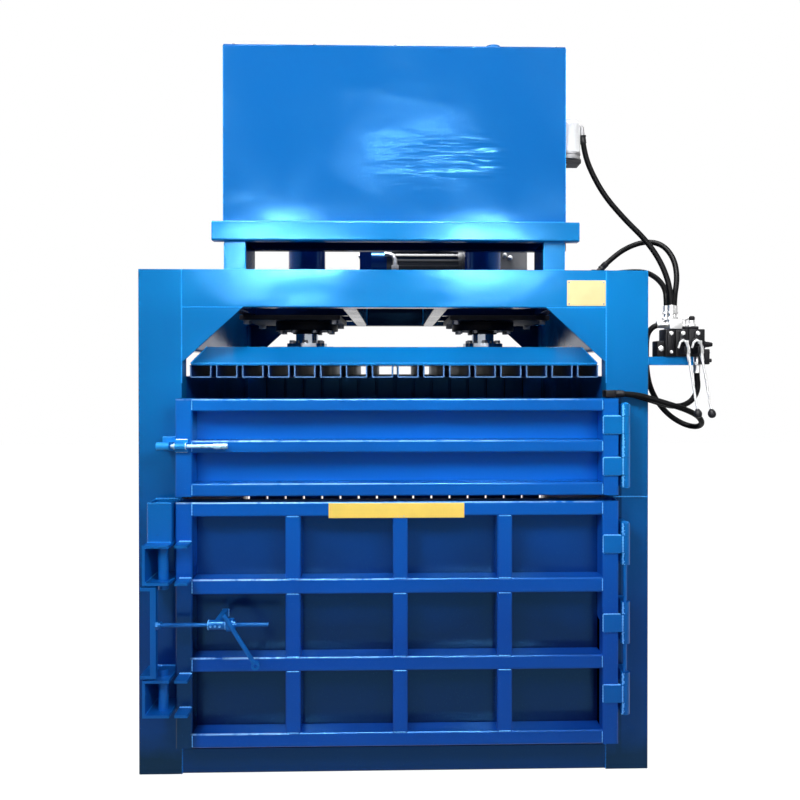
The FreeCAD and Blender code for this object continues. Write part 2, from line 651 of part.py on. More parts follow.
def slide_bolt():
    def on_bolt(start, end, radius):
        return bar((start, BOLT_Y, BOLT_Z), (end, BOLT_Y, BOLT_Z), radius)

    low, high = GUIDE_X
    foot = box(GUIDE_X, (door_front - GUIDE_FOOT_T, door_front), (BOLT_Z - 22, BOLT_Z + 22))
    guide = on_bolt(low, high, GUIDE_R).fuse(foot)
    save("bolt_guide", guide.cut(on_bolt(low - 1, high + 1, BOLT_R + FIT)))

    low, high = KEEPER_X
    web = box(KEEPER_X, (BOLT_Y, front_y), (BOLT_Z - 6, BOLT_Z + 6))
    base = box((low - 8, high + 8), (front_y - KEEPER_BASE_T, front_y), (BOLT_Z - 24, BOLT_Z + 24))
    keeper = on_bolt(low, high, KEEPER_R).fuse(web).fuse(base)
    save("bolt_keeper", keeper.cut(on_bolt(low - 1, high + 1, KEEPER_BORE_R)))

    tip, grip, end = BOLT_X
    save("slide_bolt", on_bolt(tip, grip, BOLT_R).fuse(on_bolt(grip, end, GRIP_R)))


# ---- lock of the lower door --------------------------------------------------------
def lock_on_post():
    solids = []
    for low, high in LOCK_PAIRS:
        y = (LOCK_FRONT, front_y)
        lugs = box(LOCK_X, y, (low, low + LUG_T)).fuse(box(LOCK_X, y, (high - LUG_T, high)))
        solids.append(lugs.fuse(box((LOCK_X[0], LOCK_X[0] + 10), y, (low, high))).removeSplitter())
    pin_low = (LOCK_PAIRS[0][0] + LUG_T, LOCK_PAIRS[0][1] + PIN_REACH)
    pin_high = (LOCK_PAIRS[1][0] - PIN_REACH, LOCK_PAIRS[1][1] - LUG_T)
    pins = []
    for low, high in (pin_low, pin_high):
        pins.append(bar((LOCK_PIN_X, LOCK_PIN_Y, low), (LOCK_PIN_X, LOCK_PIN_Y, high), LOCK_PIN_R))
    clear = bar((LOCK_PIN_X, LOCK_PIN_Y, pin_low[0]), (LOCK_PIN_X, LOCK_PIN_Y, pin_high[1]), LOCK_PIN_R + 0.2)
    solids = [s.cut(clear) for s in solids]
    block_x = (LOCK_X[0] + 2, LOCK_X[1] - 3)
    block_z = (LOCK_PAIRS[1][1], LOWER_Z[1])
    solids.append(rect_tube(block_x, (front_y - BLOCK_D, front_y), block_z, "z", DOOR_TUBE_T))
    save("lock_housings", *solids)
    save("lock_pins", *pins)


def hook_plate(low):
    """Plan view of a hook: arm in front of the pin, lip that reaches behind it when drawn."""
    lip_end = LOCK_PIN_X - LOCK_PIN_R - 4
    arm_back = LOCK_PIN_Y - LOCK_PIN_R - 4
    lip = (LOCK_PIN_Y + LOCK_PIN_R + 2, LOCK_PIN_Y + LOCK_PIN_R + 27)
    left = lip_end - HOOK_LIP
    inner = left + HOOK_ARM
    outline = [(left, LOCK_FRONT), (DRAW_BAR_X[1], LOCK_FRONT), (DRAW_BAR_X[1], arm_back), (inner, arm_back),
               (inner, lip[0]), (lip_end, lip[0]), (lip_end, lip[1]), (left, lip[1])]
    return prism([(x, y, low) for x, y in outline], (0, 0, HOOK_T))


def on_screw(start, end, radius):
    """A round form on the axis of the lock's screw, which lies along X."""
    return bar((start, SCREW_Y, SCREW_Z), (end, SCREW_Y, SCREW_Z), radius)


def draw_bar():
    hook_low = LOCK_PAIRS[0][1] + 6
    hook_high = LOCK_PAIRS[1][0] - 6 - HOOK_T
    upright = box(DRAW_BAR_X, (LOCK_FRONT, LOCK_FRONT + 20), (hook_low, hook_high + HOOK_T))
    boss_end = DRAW_BAR_X[1] + BOSS_L
    boss = on_screw(DRAW_BAR_X[1] - 1, boss_end, BOSS_R)
    weldment = upright.fuse(hook_plate(hook_low)).fuse(hook_plate(hook_high)).fuse(boss)
    save("draw_bar", weldment.removeSplitter(), on_screw(boss_end, SCREW_END, SCREW_R))


def lock_on_door():
    solids = []
    for pair in LOCK_PAIRS:
        for low in (pair[0], pair[1] - LUG_T):
            solids.append(box(DOOR_LUG_X, (LOCK_FRONT, door_front), (low, low + LUG_T)))
    low, high = HUB_X
    stem_x = (low + 22, low + 42)
    stem = box(stem_x, (SCREW_Y, door_back), (SCREW_Z - 15, SCREW_Z + 15))
    hub = on_screw(low, high, HUB_R).fuse(on_screw(high, SPIGOT_END + 1, SPIGOT_R))
    hub = hub.fuse(on_screw(SPIGOT_END, SPIGOT_END + END_WASHER_T, SPIGOT_R + 4)).fuse(stem)
    solids.append(hub.cut(on_screw(low - 1, SPIGOT_END + END_WASHER_T + 1, SCREW_R + FIT)))
    save("lock_brackets", *solids)

    # the handle hangs in front of the screw, its ring turns on the spigot of the hub
    ring_x = (high + 0.5, SPIGOT_END - 0.5)
    arm_y = SCREW_Y - RING_R - 5
    (top_x, top_z), (low_x, low_z), (eye_x, eye_z) = HANDLE_TOP, HANDLE_LOW, HANDLE_EYE
    arm = bar((top_x, arm_y, top_z), (low_x, arm_y, low_z), HANDLE_R)
    neck = box((ring_x[0] + 2, ring_x[1] - 2), (arm_y, SCREW_Y - 14), (SCREW_Z - 8, SCREW_Z + 8))
    eye = tube((eye_x, arm_y - 7, eye_z), (eye_x, arm_y + 7, eye_z), *EYE_R)
    handle = on_screw(*ring_x, RING_R).fuse(neck).fuse(arm).fuse(eye)
    save("ratchet_lever", handle.cut(on_screw(ring_x[0] - 1, ring_x[1] + 1, SPIGOT_R + FIT)))


# ---- hand valve on the right post --------------------------------------------------
VALVE_X = (1015.0, 1165.0)
VALVE_Y = (-655.0, -565.0)
VALVE_Z = (1549.0, 1653.0)
LEVER_X = (1078.0, 1128.0)
PIVOT_Y = -700.0
PIVOT_Z = 1572.0
PIVOT_R = 5.0
SPOOL_Z = PIVOT_Z + 30.0
SPOOL_R = 8.0
SPOOL_END_Y = -692.0
KNOB_Y = -800.0
KNOB_Z = 1345.0
PORT_BLOCK_X = (1030.0, 1078.0)
PORT_BLOCK_TOP = 1690.0
ADAPTOR_R = 12.0
ADAPTOR_TOP = 1712.0
TOP_PORTS = ((1042.0, -632.0), (1062.0, -606.0), (1034.5, -602.0))
BRACKET_X = (post_x, 1124.0)
BRACKET_Y = (-640.0, -590.0)
BRACKET_Z = (1517.0, VALVE_Z[0])
BRACKET_T = 6.0
INLET_X = 986.0           # inlet section, left of the spool sections
OUTLET_END = 1187.0       # outlet section, right of them
RELIEF = (1128.0, -612.0) # relief valve on top
PRESS_PORT = (1150.0, -605.0)
STUB_END = 1206.0
LEVER_R = 4.5
KNOB_R = 14.0


def valve():
    bracket = box(BRACKET_X, BRACKET_Y, BRACKET_Z)
    under = box((BRACKET_X[0] - 1, BRACKET_X[1] + 1), (BRACKET_Y[0] + BRACKET_T, BRACKET_Y[1] + 1),
                (BRACKET_Z[0] - BRACKET_T, BRACKET_Z[1] - BRACKET_T))
    save("valve_bracket", bracket.cut(under))

    body = box(VALVE_X, VALVE_Y, VALVE_Z)
    body = body.fuse(box((INLET_X, VALVE_X[0]), (-640, -580), (VALVE_Z[0], VALVE_Z[0] + 60)))
    body = body.fuse(box((VALVE_X[1], OUTLET_END), (-640, -580), (VALVE_Z[0] - 29, VALVE_Z[0] + 29)))
    body = body.fuse(box(PORT_BLOCK_X, (-650, -585), (VALVE_Z[1], PORT_BLOCK_TOP)))
    for x in LEVER_X:
        lug = box((x - 16, x - 7), (PIVOT_Y - 14, VALVE_Y[0]), (PIVOT_Z - 14, PIVOT_Z + 14))
        pin = bar((x - 16, PIVOT_Y, PIVOT_Z), (x + 8, PIVOT_Y, PIVOT_Z), PIVOT_R)
        body = body.fuse(lug).fuse(pin)
        body = body.cut(bar((x, VALVE_Y[0] - 1, SPOOL_Z), (x, VALVE_Y[1] - 6, SPOOL_Z), SPOOL_R + FIT))
    save("valve_body", body)

    fittings = []
    for x, y in TOP_PORTS:
        nut = bar((x, y, PORT_BLOCK_TOP), (x, y, PORT_BLOCK_TOP + 10), ADAPTOR_R + 1)
        fittings.append(nut.fuse(bar((x, y, PORT_BLOCK_TOP), (x, y, ADAPTOR_TOP), ADAPTOR_R)))
    relief_top = VALVE_Z[1] + 37
    relief = bar((*RELIEF, VALVE_Z[1]), (*RELIEF, relief_top), 13.0)
    fittings.append(relief.fuse(bar((*RELIEF, relief_top), (*RELIEF, relief_top + 14), 8.0)))
    stub = bar((VALVE_X[1], -610, 1596), (STUB_END - 10, -610, 1596), 13.0)
    fittings.append(stub.fuse(bar((STUB_END - 10, -610, 1596), (STUB_END, -610, 1596), 9.0)))
    fittings.append(bar((*PRESS_PORT, 1519), (*PRESS_PORT, VALVE_Z[0]), ADAPTOR_R))
    save("valve_fittings", *fittings)

    for number, x in enumerate(LEVER_X, 1):
        spool = bar((x, SPOOL_END_Y, SPOOL_Z), (x, VALVE_Y[1] - 15, SPOOL_Z), SPOOL_R)
        save("valve_spool_%d" % number, spool)
        ring = bar((x - 5, PIVOT_Y, PIVOT_Z), (x + 5, PIVOT_Y, PIVOT_Z), 13.0)
        tail = box((x - 4, x + 4), (PIVOT_Y - 4, PIVOT_Y + 4), (PIVOT_Z, SPOOL_Z + 6))
        arm = bar((x, PIVOT_Y, PIVOT_Z), (x, KNOB_Y, KNOB_Z), LEVER_R)
        lever = ring.fuse(tail).fuse(arm)
        knob = bar((x, KNOB_Y + 5, KNOB_Z + 11), (x, KNOB_Y - 7, KNOB_Z - 16), KNOB_R)
        lever = lever.cut(knob).cut(bar((x - 6, PIVOT_Y, PIVOT_Z), (x + 6, PIVOT_Y, PIVOT_Z), PIVOT_R + FIT))
        save("valve_lever_%d" % number, lever, knob)


# ---- hoses -------------------------------------------------------------------------
MANIFOLD_X = (775.0, 812.0)
MANIFOLD_PORTS = ((-690.0, 1411.0), (-666.0, 1411.0))     # y, z
FILTER_PORT = (744.0, FILTER_Y, 2434.0)
PRESSURE_PORT = (822.0, -450.0, 1902.0)
RETURN_PORT = (850.0, -350.0, 1898.0)

FILTER_HOSE = [FILTER_PORT, (744, -500, 2370), (766, -503, 2285), (819, -511, 2183), (896, -528, 2086),
               (968, -553, 2005), (1013, -582, 1925), (1037, -611, 1842), (1042, -632, 1765),
               (1042, -632, ADAPTOR_TOP)]
PRESSURE_HOSE = [PRESSURE_PORT, (862, -450, 1942), (922, -460, 1987), (992, -480, 2010),
                 (1052, -510, 1993), (1084, -548, 1930), (1082, -586, 1850), (1062, -606, 1772),
                 (1062, -606, ADAPTOR_TOP)]
RETURN_HOSE = [RETURN_PORT, (905, -350, 1898), (966, -378, 1903), (1012, -438, 1893), (1034, -506, 1858),
               (1042, -564, 1815), (1034.5, -602, 1770), (1034.5, -602, ADAPTOR_TOP)]
LIFT_HOSE = [(1030, -594, 1672), (1002, -594, 1672), (977, -592, 1657), (963.5, -588, 1630),
             (963, -582, 1580), (966, -576, 1510), (980, -566, 1440), (1016, -552, 1375),
             (1068, -542, 1320), (1122, -556, 1286), (1156, -594, 1280), (1158, -642, 1297),
             (1130, -682, 1325), (1084, -703, 1348), (1026, -706, 1368), (958, -697, 1389),
             (885, -690, 1411), (MANIFOLD_X[1],) + MANIFOLD_PORTS[0]]
PRESS_HOSE = [(1150, -605, 1519), (1150, -605, 1480), (1155, -607, 1430), (1134, -613, 1387),
              (1092, -626, 1364), (1040, -645, 1362), (985, -664, 1376), (925, -668, 1395),
              (868, -666, 1411), (MANIFOLD_X[1],) + MANIFOLD_PORTS[1]]


def hose(name, route):
    """A tube along straight runs joined by tangent arcs as large as the runs allow."""
    points = [Vector(*p) for p in route]
    edges = []
    radii = []
    start = points[0]
    for before, corner, after in zip(points, points[1:], points[2:]):
        back = (before - corner)
        ahead = (after - corner)
        half_turn = (math.pi - back.getAngle(ahead)) / 2
        reach = 0.45 * min(back.Length, ahead.Length)
        radius = reach / math.tan(half_turn)
        back.normalize()
        ahead.normalize()
        arc_start = corner + back * reach
        arc_end = corner + ahead * reach
        to_middle = (back + ahead).normalize()
        centre_distance = radius / math.cos(half_turn)
        arc_middle = corner + to_middle * (centre_distance - radius)
        edges.append(Part.LineSegment(start, arc_start).toShape())
        edges.append(Part.Arc(arc_start, arc_middle, arc_end).toShape())
        radii.append(round(radius))
        start = arc_end
    edges.append(Part.LineSegment(start, points[-1]).toShape())
    path = Part.Wire(edges)
    section = Part.Wire(Part.makeCircle(HOSE_R, points[0], points[1] - points[0]))
    solid = path.makePipeShell([section], True, False)
    ratio = solid.Volume / (math.pi * HOSE_R ** 2 * path.Length)
    print(name, "radii", radii, "length", round(path.Length), "volume ratio", round(ratio, 4))
    save(name, solid)


def hose_fittings():
    block = box(MANIFOLD_X, (-703, front_y), (1398, 1424))
    x, y, z = FILTER_PORT
    reach = FILTER_X + FILTER_R - 4
    elbow = bar((reach, y, z + 16), (x, y, z + 16), 9.0).fuse(bar((x, y, z), (x, y, z + 25), ADAPTOR_R))
    elbow = elbow.cut(bar((FILTER_X, y, FILTER_Z[1]), (FILTER_X, y, FILTER_Z[2]), FILTER_R))
    x, y, z = PRESSURE_PORT
    angled = bar((x - 19, y, z - 19), (x, y, z), ADAPTOR_R)
    angled = angled.fuse(box((x - 30, x), (y - 15, y + 15), (FRAME_TOP, z - 16)))
    x, y, z = RETURN_PORT
    straight = bar((x - 12, y, z), (x, y, z), ADAPTOR_R)
    straight = straight.fuse(box((x - 42, x - 10), (y - 16, y + 16), (FRAME_TOP, z + 14)))
    save("hose_fittings", block, elbow, angled, straight)


main_frame()
rear_wall()
base_and_floor()
cylinders()
platen()
tank()
power_unit()
doors()
hinges()
slide_bolt()
lock_on_post()
draw_bar()
lock_on_door()
valve()
hose_fittings()
hose("filter_hose", FILTER_HOSE)
hose("pressure_hose", PRESSURE_HOSE)
hose("return_hose", RETURN_HOSE)
hose("lift_hose", LIFT_HOSE)
hose("press_hose", PRESS_HOSE)
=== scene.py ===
import json
import math
import random

import bmesh
import bpy
from mathutils import Matrix, Vector


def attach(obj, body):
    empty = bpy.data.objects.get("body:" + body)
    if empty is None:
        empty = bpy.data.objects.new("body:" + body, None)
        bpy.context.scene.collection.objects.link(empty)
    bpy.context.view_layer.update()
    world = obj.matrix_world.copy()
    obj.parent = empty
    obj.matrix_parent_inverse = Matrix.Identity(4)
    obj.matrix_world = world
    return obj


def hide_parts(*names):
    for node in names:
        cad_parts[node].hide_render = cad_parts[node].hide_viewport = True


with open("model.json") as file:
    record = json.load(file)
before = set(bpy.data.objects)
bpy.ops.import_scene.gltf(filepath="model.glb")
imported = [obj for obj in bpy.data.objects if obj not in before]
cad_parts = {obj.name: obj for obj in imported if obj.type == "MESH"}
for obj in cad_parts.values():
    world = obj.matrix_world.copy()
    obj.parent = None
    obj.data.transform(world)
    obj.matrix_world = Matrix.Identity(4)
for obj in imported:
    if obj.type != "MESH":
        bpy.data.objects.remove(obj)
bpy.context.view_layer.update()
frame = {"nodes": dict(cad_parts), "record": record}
nodes = frame["nodes"]

# ---- camera, from the photograph's vanishing point and scale --------------------------
FOCAL_PX = 775.0          # focal length in pixels
PHOTO_PX = 800.0          # width of the photograph
SENSOR = 36.0             # width of the sensor, mm
camera_data = bpy.data.cameras.new("camera")
camera = bpy.data.objects.new("camera", camera_data)
bpy.context.scene.collection.objects.link(camera)
bpy.context.scene.camera = camera
camera_data.sensor_width = SENSOR
camera_data.lens = SENSOR * FOCAL_PX / PHOTO_PX
camera_data.clip_end = 100.0
camera_data.shift_x, camera_data.shift_y = -0.0161, -0.0331
camera.location = (-0.003, -3.536, 1.502)
camera.rotation_euler = (math.radians(90.0 - 0.32), 0.0, math.radians(-1.36))

# ---- small helpers --------------------------------------------------------------------
SHARP = math.radians(38)               # a made piece keeps edges sharper than this
CAD_SHARP = math.radians(32)           # and a CAD node those sharper than this


def link(obj):
    bpy.context.scene.collection.objects.link(obj)
    return obj


def mesh_object(name, bm, body, slot, look=None):
    """A finished piece from a bmesh: smooth, painted as its slot or its own look, and riding on its body."""
    bmesh.ops.recalc_face_normals(bm, faces=bm.faces[:])
    mesh = bpy.data.meshes.new(name)
    bm.to_mesh(mesh)
    bm.free()
    mesh.shade_smooth()
    mesh.set_sharp_from_angle(angle=SHARP)
    obj = link(bpy.data.objects.new(name, mesh))
    mesh.materials.append(paint[look or slot])
    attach(obj, body)
    return obj


# ---- materials ------------------------------------------------------------------------
class Graph:
    """A node material under construction, with short calls for the nodes used here."""

    def __init__(self, name):
        self.mat = bpy.data.materials.new(name)
        self.mat.use_nodes = True
        self.tree = self.mat.node_tree
        self.shader = self.tree.nodes["Principled BSDF"]
        geometry = self.tree.nodes.new("ShaderNodeTexCoord")
        self.place = geometry.outputs["Object"]

    def node(self, kind, inputs=None, **settings):
        made = self.tree.nodes.new(kind)
        for key, value in settings.items():
            setattr(made, key, value)
        for key, value in (inputs or {}).items():
            if isinstance(value, bpy.types.NodeSocket):
                self.tree.links.new(value, made.inputs[key])
            else:
                made.inputs[key].default_value = value
        return made

    def noise(self, scale, detail=3.0, stretch=(1, 1, 1), rough=0.55):
        """Noise over the part's own metres, mostly between 0.3 and 0.7."""
        moved = self.node("ShaderNodeMapping", {"Vector": self.place, "Scale": stretch})
        made = self.node("ShaderNodeTexNoise", {"Vector": moved.outputs[0], "Scale": scale, "Detail": detail,
                                                "Roughness": rough})
        return made.outputs["Fac"]

    def span(self, value, low, high, new_low=0.0, new_high=1.0):
        """A value that goes from low to high, as one that goes from new_low to new_high and no further."""
        made = self.node("ShaderNodeMapRange", {"Value": value, "From Min": low, "From Max": high,
                                                "To Min": new_low, "To Max": new_high})
        return made.outputs[0]

    def math(self, operation, a, b=0.0):
        return self.node("ShaderNodeMath", {0: a, 1: b}, operation=operation).outputs[0]

    def mix(self, factor, a, b):
        """Colour a where the factor is 0, and b where it is 1."""
        made = self.node("ShaderNodeMix", {"Factor": factor}, data_type="RGBA")
        for socket, value in (("A", a), ("B", b)):
            target = [s for s in made.inputs if s.name == socket and s.type == "RGBA"][0]
            if isinstance(value, bpy.types.NodeSocket):
                self.tree.links.new(value, target)
            else:
                target.default_value = (*value, 1.0)
        return [s for s in made.outputs if s.type == "RGBA"][0]

    def product(self, first, *others):
        for other in others:
            first = self.math("MULTIPLY", first, other)
        return first

    def window(self, value, start, full, fading, end):
        """1 from full to fading, and 0 before start and past end."""
        return self.product(self.span(value, start, full), self.span(value, end, fading))

    def axes(self):
        """The metres along X, Y and Z."""
        return self.node("ShaderNodeSeparateXYZ", {"Vector": self.place}).outputs

    def bump(self, height, strength, distance, below=None):
        """A normal from a height, laid over the normal below it."""
        inputs = {"Height": height, "Strength": strength, "Distance": distance}
        if below:
            inputs["Normal"] = below
        return self.node("ShaderNodeBump", inputs).outputs[0]

    def set(self, **values):
        """Sockets or plain values for the shader's inputs, named with _ for a space."""
        for key, value in values.items():
            socket = self.shader.inputs[key.replace("_", " ")]
            if isinstance(value, bpy.types.NodeSocket):
                self.tree.links.new(value, socket)
            else:
                socket.default_value = (*value, 1.0) if socket.type == "RGBA" else value


def frame_shade_and_dirt(g, base, inside_shade):
    """Painted shade inside the portals with their reflection turned down, a painted shadow line on the post
    beside the doors, and dirt and painted shade at the foot.
    """
    x, y, z = g.axes()
    # painted shade inside the portals, where the reflection is turned down too
    deep = g.product(g.window(y, *INSIDE_SHADE_Y), g.span(g.math("ABSOLUTE", x), *INSIDE_SHADE_X), g.span(z, *INSIDE_SHADE_Z))
    g.set(Specular_IOR_Level=g.span(deep, 0.0, 1.0, 0.5, 0.06))
    base = g.mix(deep, base, inside_shade)
    # painted shadow on the post beside the doors
    beside = g.product(g.window(x, *GAP_X), g.span(z, *GAP_Z), 0.8)
    base = g.mix(beside, base, GAP_SHADE)
    # dirt and painted shade darken the foot of the frame
    foot_reach = g.math("ADD", z, g.product(g.noise(7.0, 5.0), 0.1))
    return g.mix(g.span(foot_reach, *FOOT_Z), base, FOOT_DIRT_AND_SHADE)


def rail_highlights(g, glints):
    """Masks of painted highlights along the upper edges of the rails, patchy as the paint is."""
    x, y, z = g.axes()
    patchy = g.span(g.noise(24.0, 3.0, (1, 1, 0.2)), 0.32, 0.52)
    face = g.span(y, *RAIL_Y)
    for edge, low_x, high_x, power in glints:
        line = g.window(z, *(edge + reach for reach in GLINT_REACH))
        yield g.product(line, face, g.window(x, low_x, low_x + 0.02, high_x - 0.05, high_x), patchy, power)


def rippled(g, dents):
    """Heights of a dented patch that fades out on all sides."""
    x, _, z = g.axes()
    near = g.product(g.window(x, *dents[0]), g.window(z, *dents[1]))
    swell = g.math("SUBTRACT", g.noise(14.0, 2.0, (0.3, 1.0, 2.2)), 0.5)
    return g.product(near, near, swell)


def enamel(name, top, low, dip=0.35, wave=0.0, rough=0.14, inside_shade=None, edge=None, glints=(), cut_end=None,
           dents=None):
    """Glossy sprayed enamel, darker towards the floor as painted shade, cloudy, specked, scuffed, with orange
    peel.

    dip is the strength of the clouds and wave the depth of the sheet's waves. What follows rough is for
    one part each: painted shade, shadow and foot dirt on the frame, a painted shadow along the lock side,
    painted highlights on the rails, bare sawn ends and a dented patch.
    """
    g = Graph(name)
    x, y, z = g.axes()
    # painted shade: the blue goes from top down to low between about 1.9 and 0.7 m
    rise = g.span(g.math("ADD", z, g.product(g.noise(2.5, 2.0), 0.3)), 0.7, 1.9)
    base = g.mix(rise, low, top)
    if inside_shade:
        base = frame_shade_and_dirt(g, base, inside_shade)
    if edge:
        # painted shadow of the lock on the lower door's lock side
        base = g.mix(g.product(g.span(x, *LOCK_SHADOW_X), g.span(z, *LOCK_SHADOW_Z), 0.95), base, edge)
    base = g.mix(g.product(g.span(g.noise(1.6, 2.0), 0.35, 0.7), dip), base, tuple(0.5 * c for c in low))
    scuff = g.product(g.span(g.noise(9.0, 6.0, (1, 1, 2.5), 0.7), 0.66, 0.74),
                      g.span(g.noise(60.0, 2.0), 0.5, 0.62), 0.5)
    base = g.mix(scuff, base, SCUFF_BLUE)
    speck = g.product(g.span(g.noise(420.0, 1.0), 0.72, 0.78), 0.2)
    base = g.mix(speck, base, SPECK_BLUE)
    bright = list(rail_highlights(g, glints))
    if cut_end:
        bright.append(g.span(y, *cut_end, 0.0, 0.3))
    # painted highlights on the rails, and bare sawn ends
    for mask in bright:
        base = g.mix(mask, base, BARE_AND_HIGHLIGHT_BLUE)
    g.set(Base_Color=base, Metallic=0.0, IOR=1.5, Specular_Tint=BLUE_TINT)
    g.set(Roughness=g.span(g.noise(5.0, 4.0), 0.3, 0.7, rough, rough + 0.1))
    normal = g.bump(g.noise(260.0, 2.0), 0.25, 0.0006)
    if wave:
        normal = g.bump(g.noise(2.6, 1.5, (1, 1, 1.8)), 1.0, wave, normal)
    if dents:
        normal = g.bump(rippled(g, dents), 1.0, 0.009, normal)
    g.set(Normal=normal)
    return g.mat


def plain_metal(name, colour, rough, metallic=1.0, grain=180.0, spread=0.12, dark=0.7, bump=0.0004):
    """Metal, plastic or plain paint: uneven colour and gloss with a fine grain, black things duller."""
    g = Graph(name)
    patch = g.span(g.noise(14.0, 5.0), 0.3, 0.7)
    g.set(Base_Color=g.mix(patch, tuple(dark * c for c in colour), colour), Metallic=metallic,
          Specular_IOR_Level=0.1 if max(colour) < 0.05 else 0.5)
    g.set(Roughness=g.span(g.noise(grain, 3.0), 0.3, 0.7, rough, rough + spread))
    g.set(Normal=g.bump(g.noise(grain * 2, 3.0), 0.35, bump))
    return g.mat


def rubber(name):
    """Hose cover: near black, a little dusty, hardly shiny."""
    g = Graph(name)
    dusty = g.span(g.noise(25.0, 4.0), 0.4, 0.75)
    g.set(Base_Color=g.mix(dusty, (0.002, 0.002, 0.0025), (0.006, 0.006, 0.007)), Specular_IOR_Level=0.04)
    g.set(Roughness=g.span(g.noise(90.0, 3.0), 0.3, 0.7, 0.34, 0.5))
    g.set(Normal=g.bump(g.noise(900.0, 2.0), 0.3, 0.0003))
    return g.mat


BLUE_TOP, BLUE_LOW = (0.003, 0.22, 0.6), (0.003, 0.03, 0.2)      # of most of the frame, high up and low; the darker low blue is painted shade
DEEP_TOP, DEEP_LOW = (0.002, 0.09, 0.42), (0.002, 0.04, 0.26)    # painted shade: darker blue for what lies in the shade
BLUE_TINT = (0.14, 0.5, 1.0)           # of the paint's mirror images
BARE_AND_HIGHLIGHT_BLUE = (0.3, 0.52, 0.85)          # painted highlights on the rails' edges, and bare sawn ends
SPECK_BLUE = (0.1, 0.4, 0.75)
SCUFF_BLUE = (0.02, 0.09, 0.22)
INSIDE_SHADE = (0.001, 0.008, 0.04)            # painted shade between the posts
GAP_SHADE = (0.001, 0.01, 0.06)        # painted shadow on the post, beside the doors
# dirt and painted shade at the foot
FOOT_DIRT_AND_SHADE = (0.001, 0.004, 0.016)
LOCK_SHADOW = (0.002, 0.01, 0.04)        # painted shadow of the lock, along the lock side of the lower door
# Where these marks set in and end, in metres: a mark with two numbers is none at the first and full at
# the second, one with four sets in between the first two and fades between the last two.
INSIDE_SHADE_X, INSIDE_SHADE_Y, INSIDE_SHADE_Z = (0.8, 0.77), (-0.6485, -0.6, 0.644, 0.648), (2.06, 2.03)
GAP_X, GAP_Z = (0.826, 0.829, 0.846, 0.852), (1.42, 1.4)
FOOT_Z = (0.2, 0.1)
LOCK_SHADOW_X, LOCK_SHADOW_Z = (-0.70, -0.74), (0.8, 0.6)
RAIL_Y = (-0.7255, -0.7285)            # front faces of the rails
GLINT_REACH = (-0.0062, -0.004, 0.001, 0.002)                  # from a rail's upper edge
CUT_END = (-0.602, -0.604)             # front ends of the platen channels, left bare where they were sawn
DENTS = ((-0.14, 0.1, 0.32, 0.48), (2.14, 2.26, 2.32, 2.44))   # ripples in the tank's front sheet, x and z
GLINTS = (                             # painted highlights on the rails' upper edges: z, from x, to x, strength
    (1.395, -0.8, 0.7, 0.4), (1.245, -0.74, -0.42, 0.9), (1.245, -0.42, 0.4, 0.25), (1.09, -0.6, 0.1, 0.25),
    (1.022, -0.82, -0.3, 1.0), (1.022, -0.32, 0.75, 0.4), (0.744, -0.74, -0.37, 0.8),
    (0.744, -0.37, 0.1, 0.35), (0.461, -0.74, -0.37, 0.7), (0.461, -0.37, 0.1, 0.25),
    (0.186, -0.74, -0.37, 0.6))
TANK_BLUE = (0.003, 0.12, 0.42)
ENAMELS = {
    "frame_blue": dict(top=BLUE_TOP, low=BLUE_LOW, wave=0.004, rough=0.09, inside_shade=INSIDE_SHADE),
    "wall_blue": dict(top=DEEP_TOP, low=(0.002, 0.02, 0.13)),
    "tank_blue": dict(top=TANK_BLUE, low=TANK_BLUE, dip=0.05, wave=0.006, rough=0.09, dents=DENTS),
    "door_blue": dict(top=(0.003, 0.18, 0.66), low=(0.003, 0.06, 0.42), wave=0.004, edge=LOCK_SHADOW,
                      glints=GLINTS),
    "upper_skin": dict(top=(0.003, 0.15, 0.62), low=(0.003, 0.12, 0.58), wave=0.006),
    # darker than the door's blue towards the floor: painted shade in the recesses
    "lower_skin": dict(top=(0.003, 0.11, 0.6), low=(0.0015, 0.006, 0.055), wave=0.006),
    "fitting_blue": dict(top=BLUE_TOP, low=(0.004, 0.11, 0.48)),
    "platen_blue": dict(top=BLUE_TOP, low=BLUE_LOW),
    "cylinder_blue": dict(top=DEEP_LOW, low=DEEP_LOW),
    # painted highlight: pale blue for beads and spatter that catch the light
    "weld_highlight": dict(top=(0.12, 0.62, 1.0), low=(0.12, 0.42, 0.95), dip=0.1, rough=0.08),
    # lighter than the frame's blue, painted highlight on beads and small fittings
    "weld_blue": dict(top=(0.02, 0.4, 0.95), low=(0.008, 0.16, 0.62), dip=0.1, rough=0.08),
    "channel_blue": dict(top=(0.002, 0.03, 0.16), low=(0.002, 0.02, 0.12), rough=0.35, cut_end=CUT_END),
}
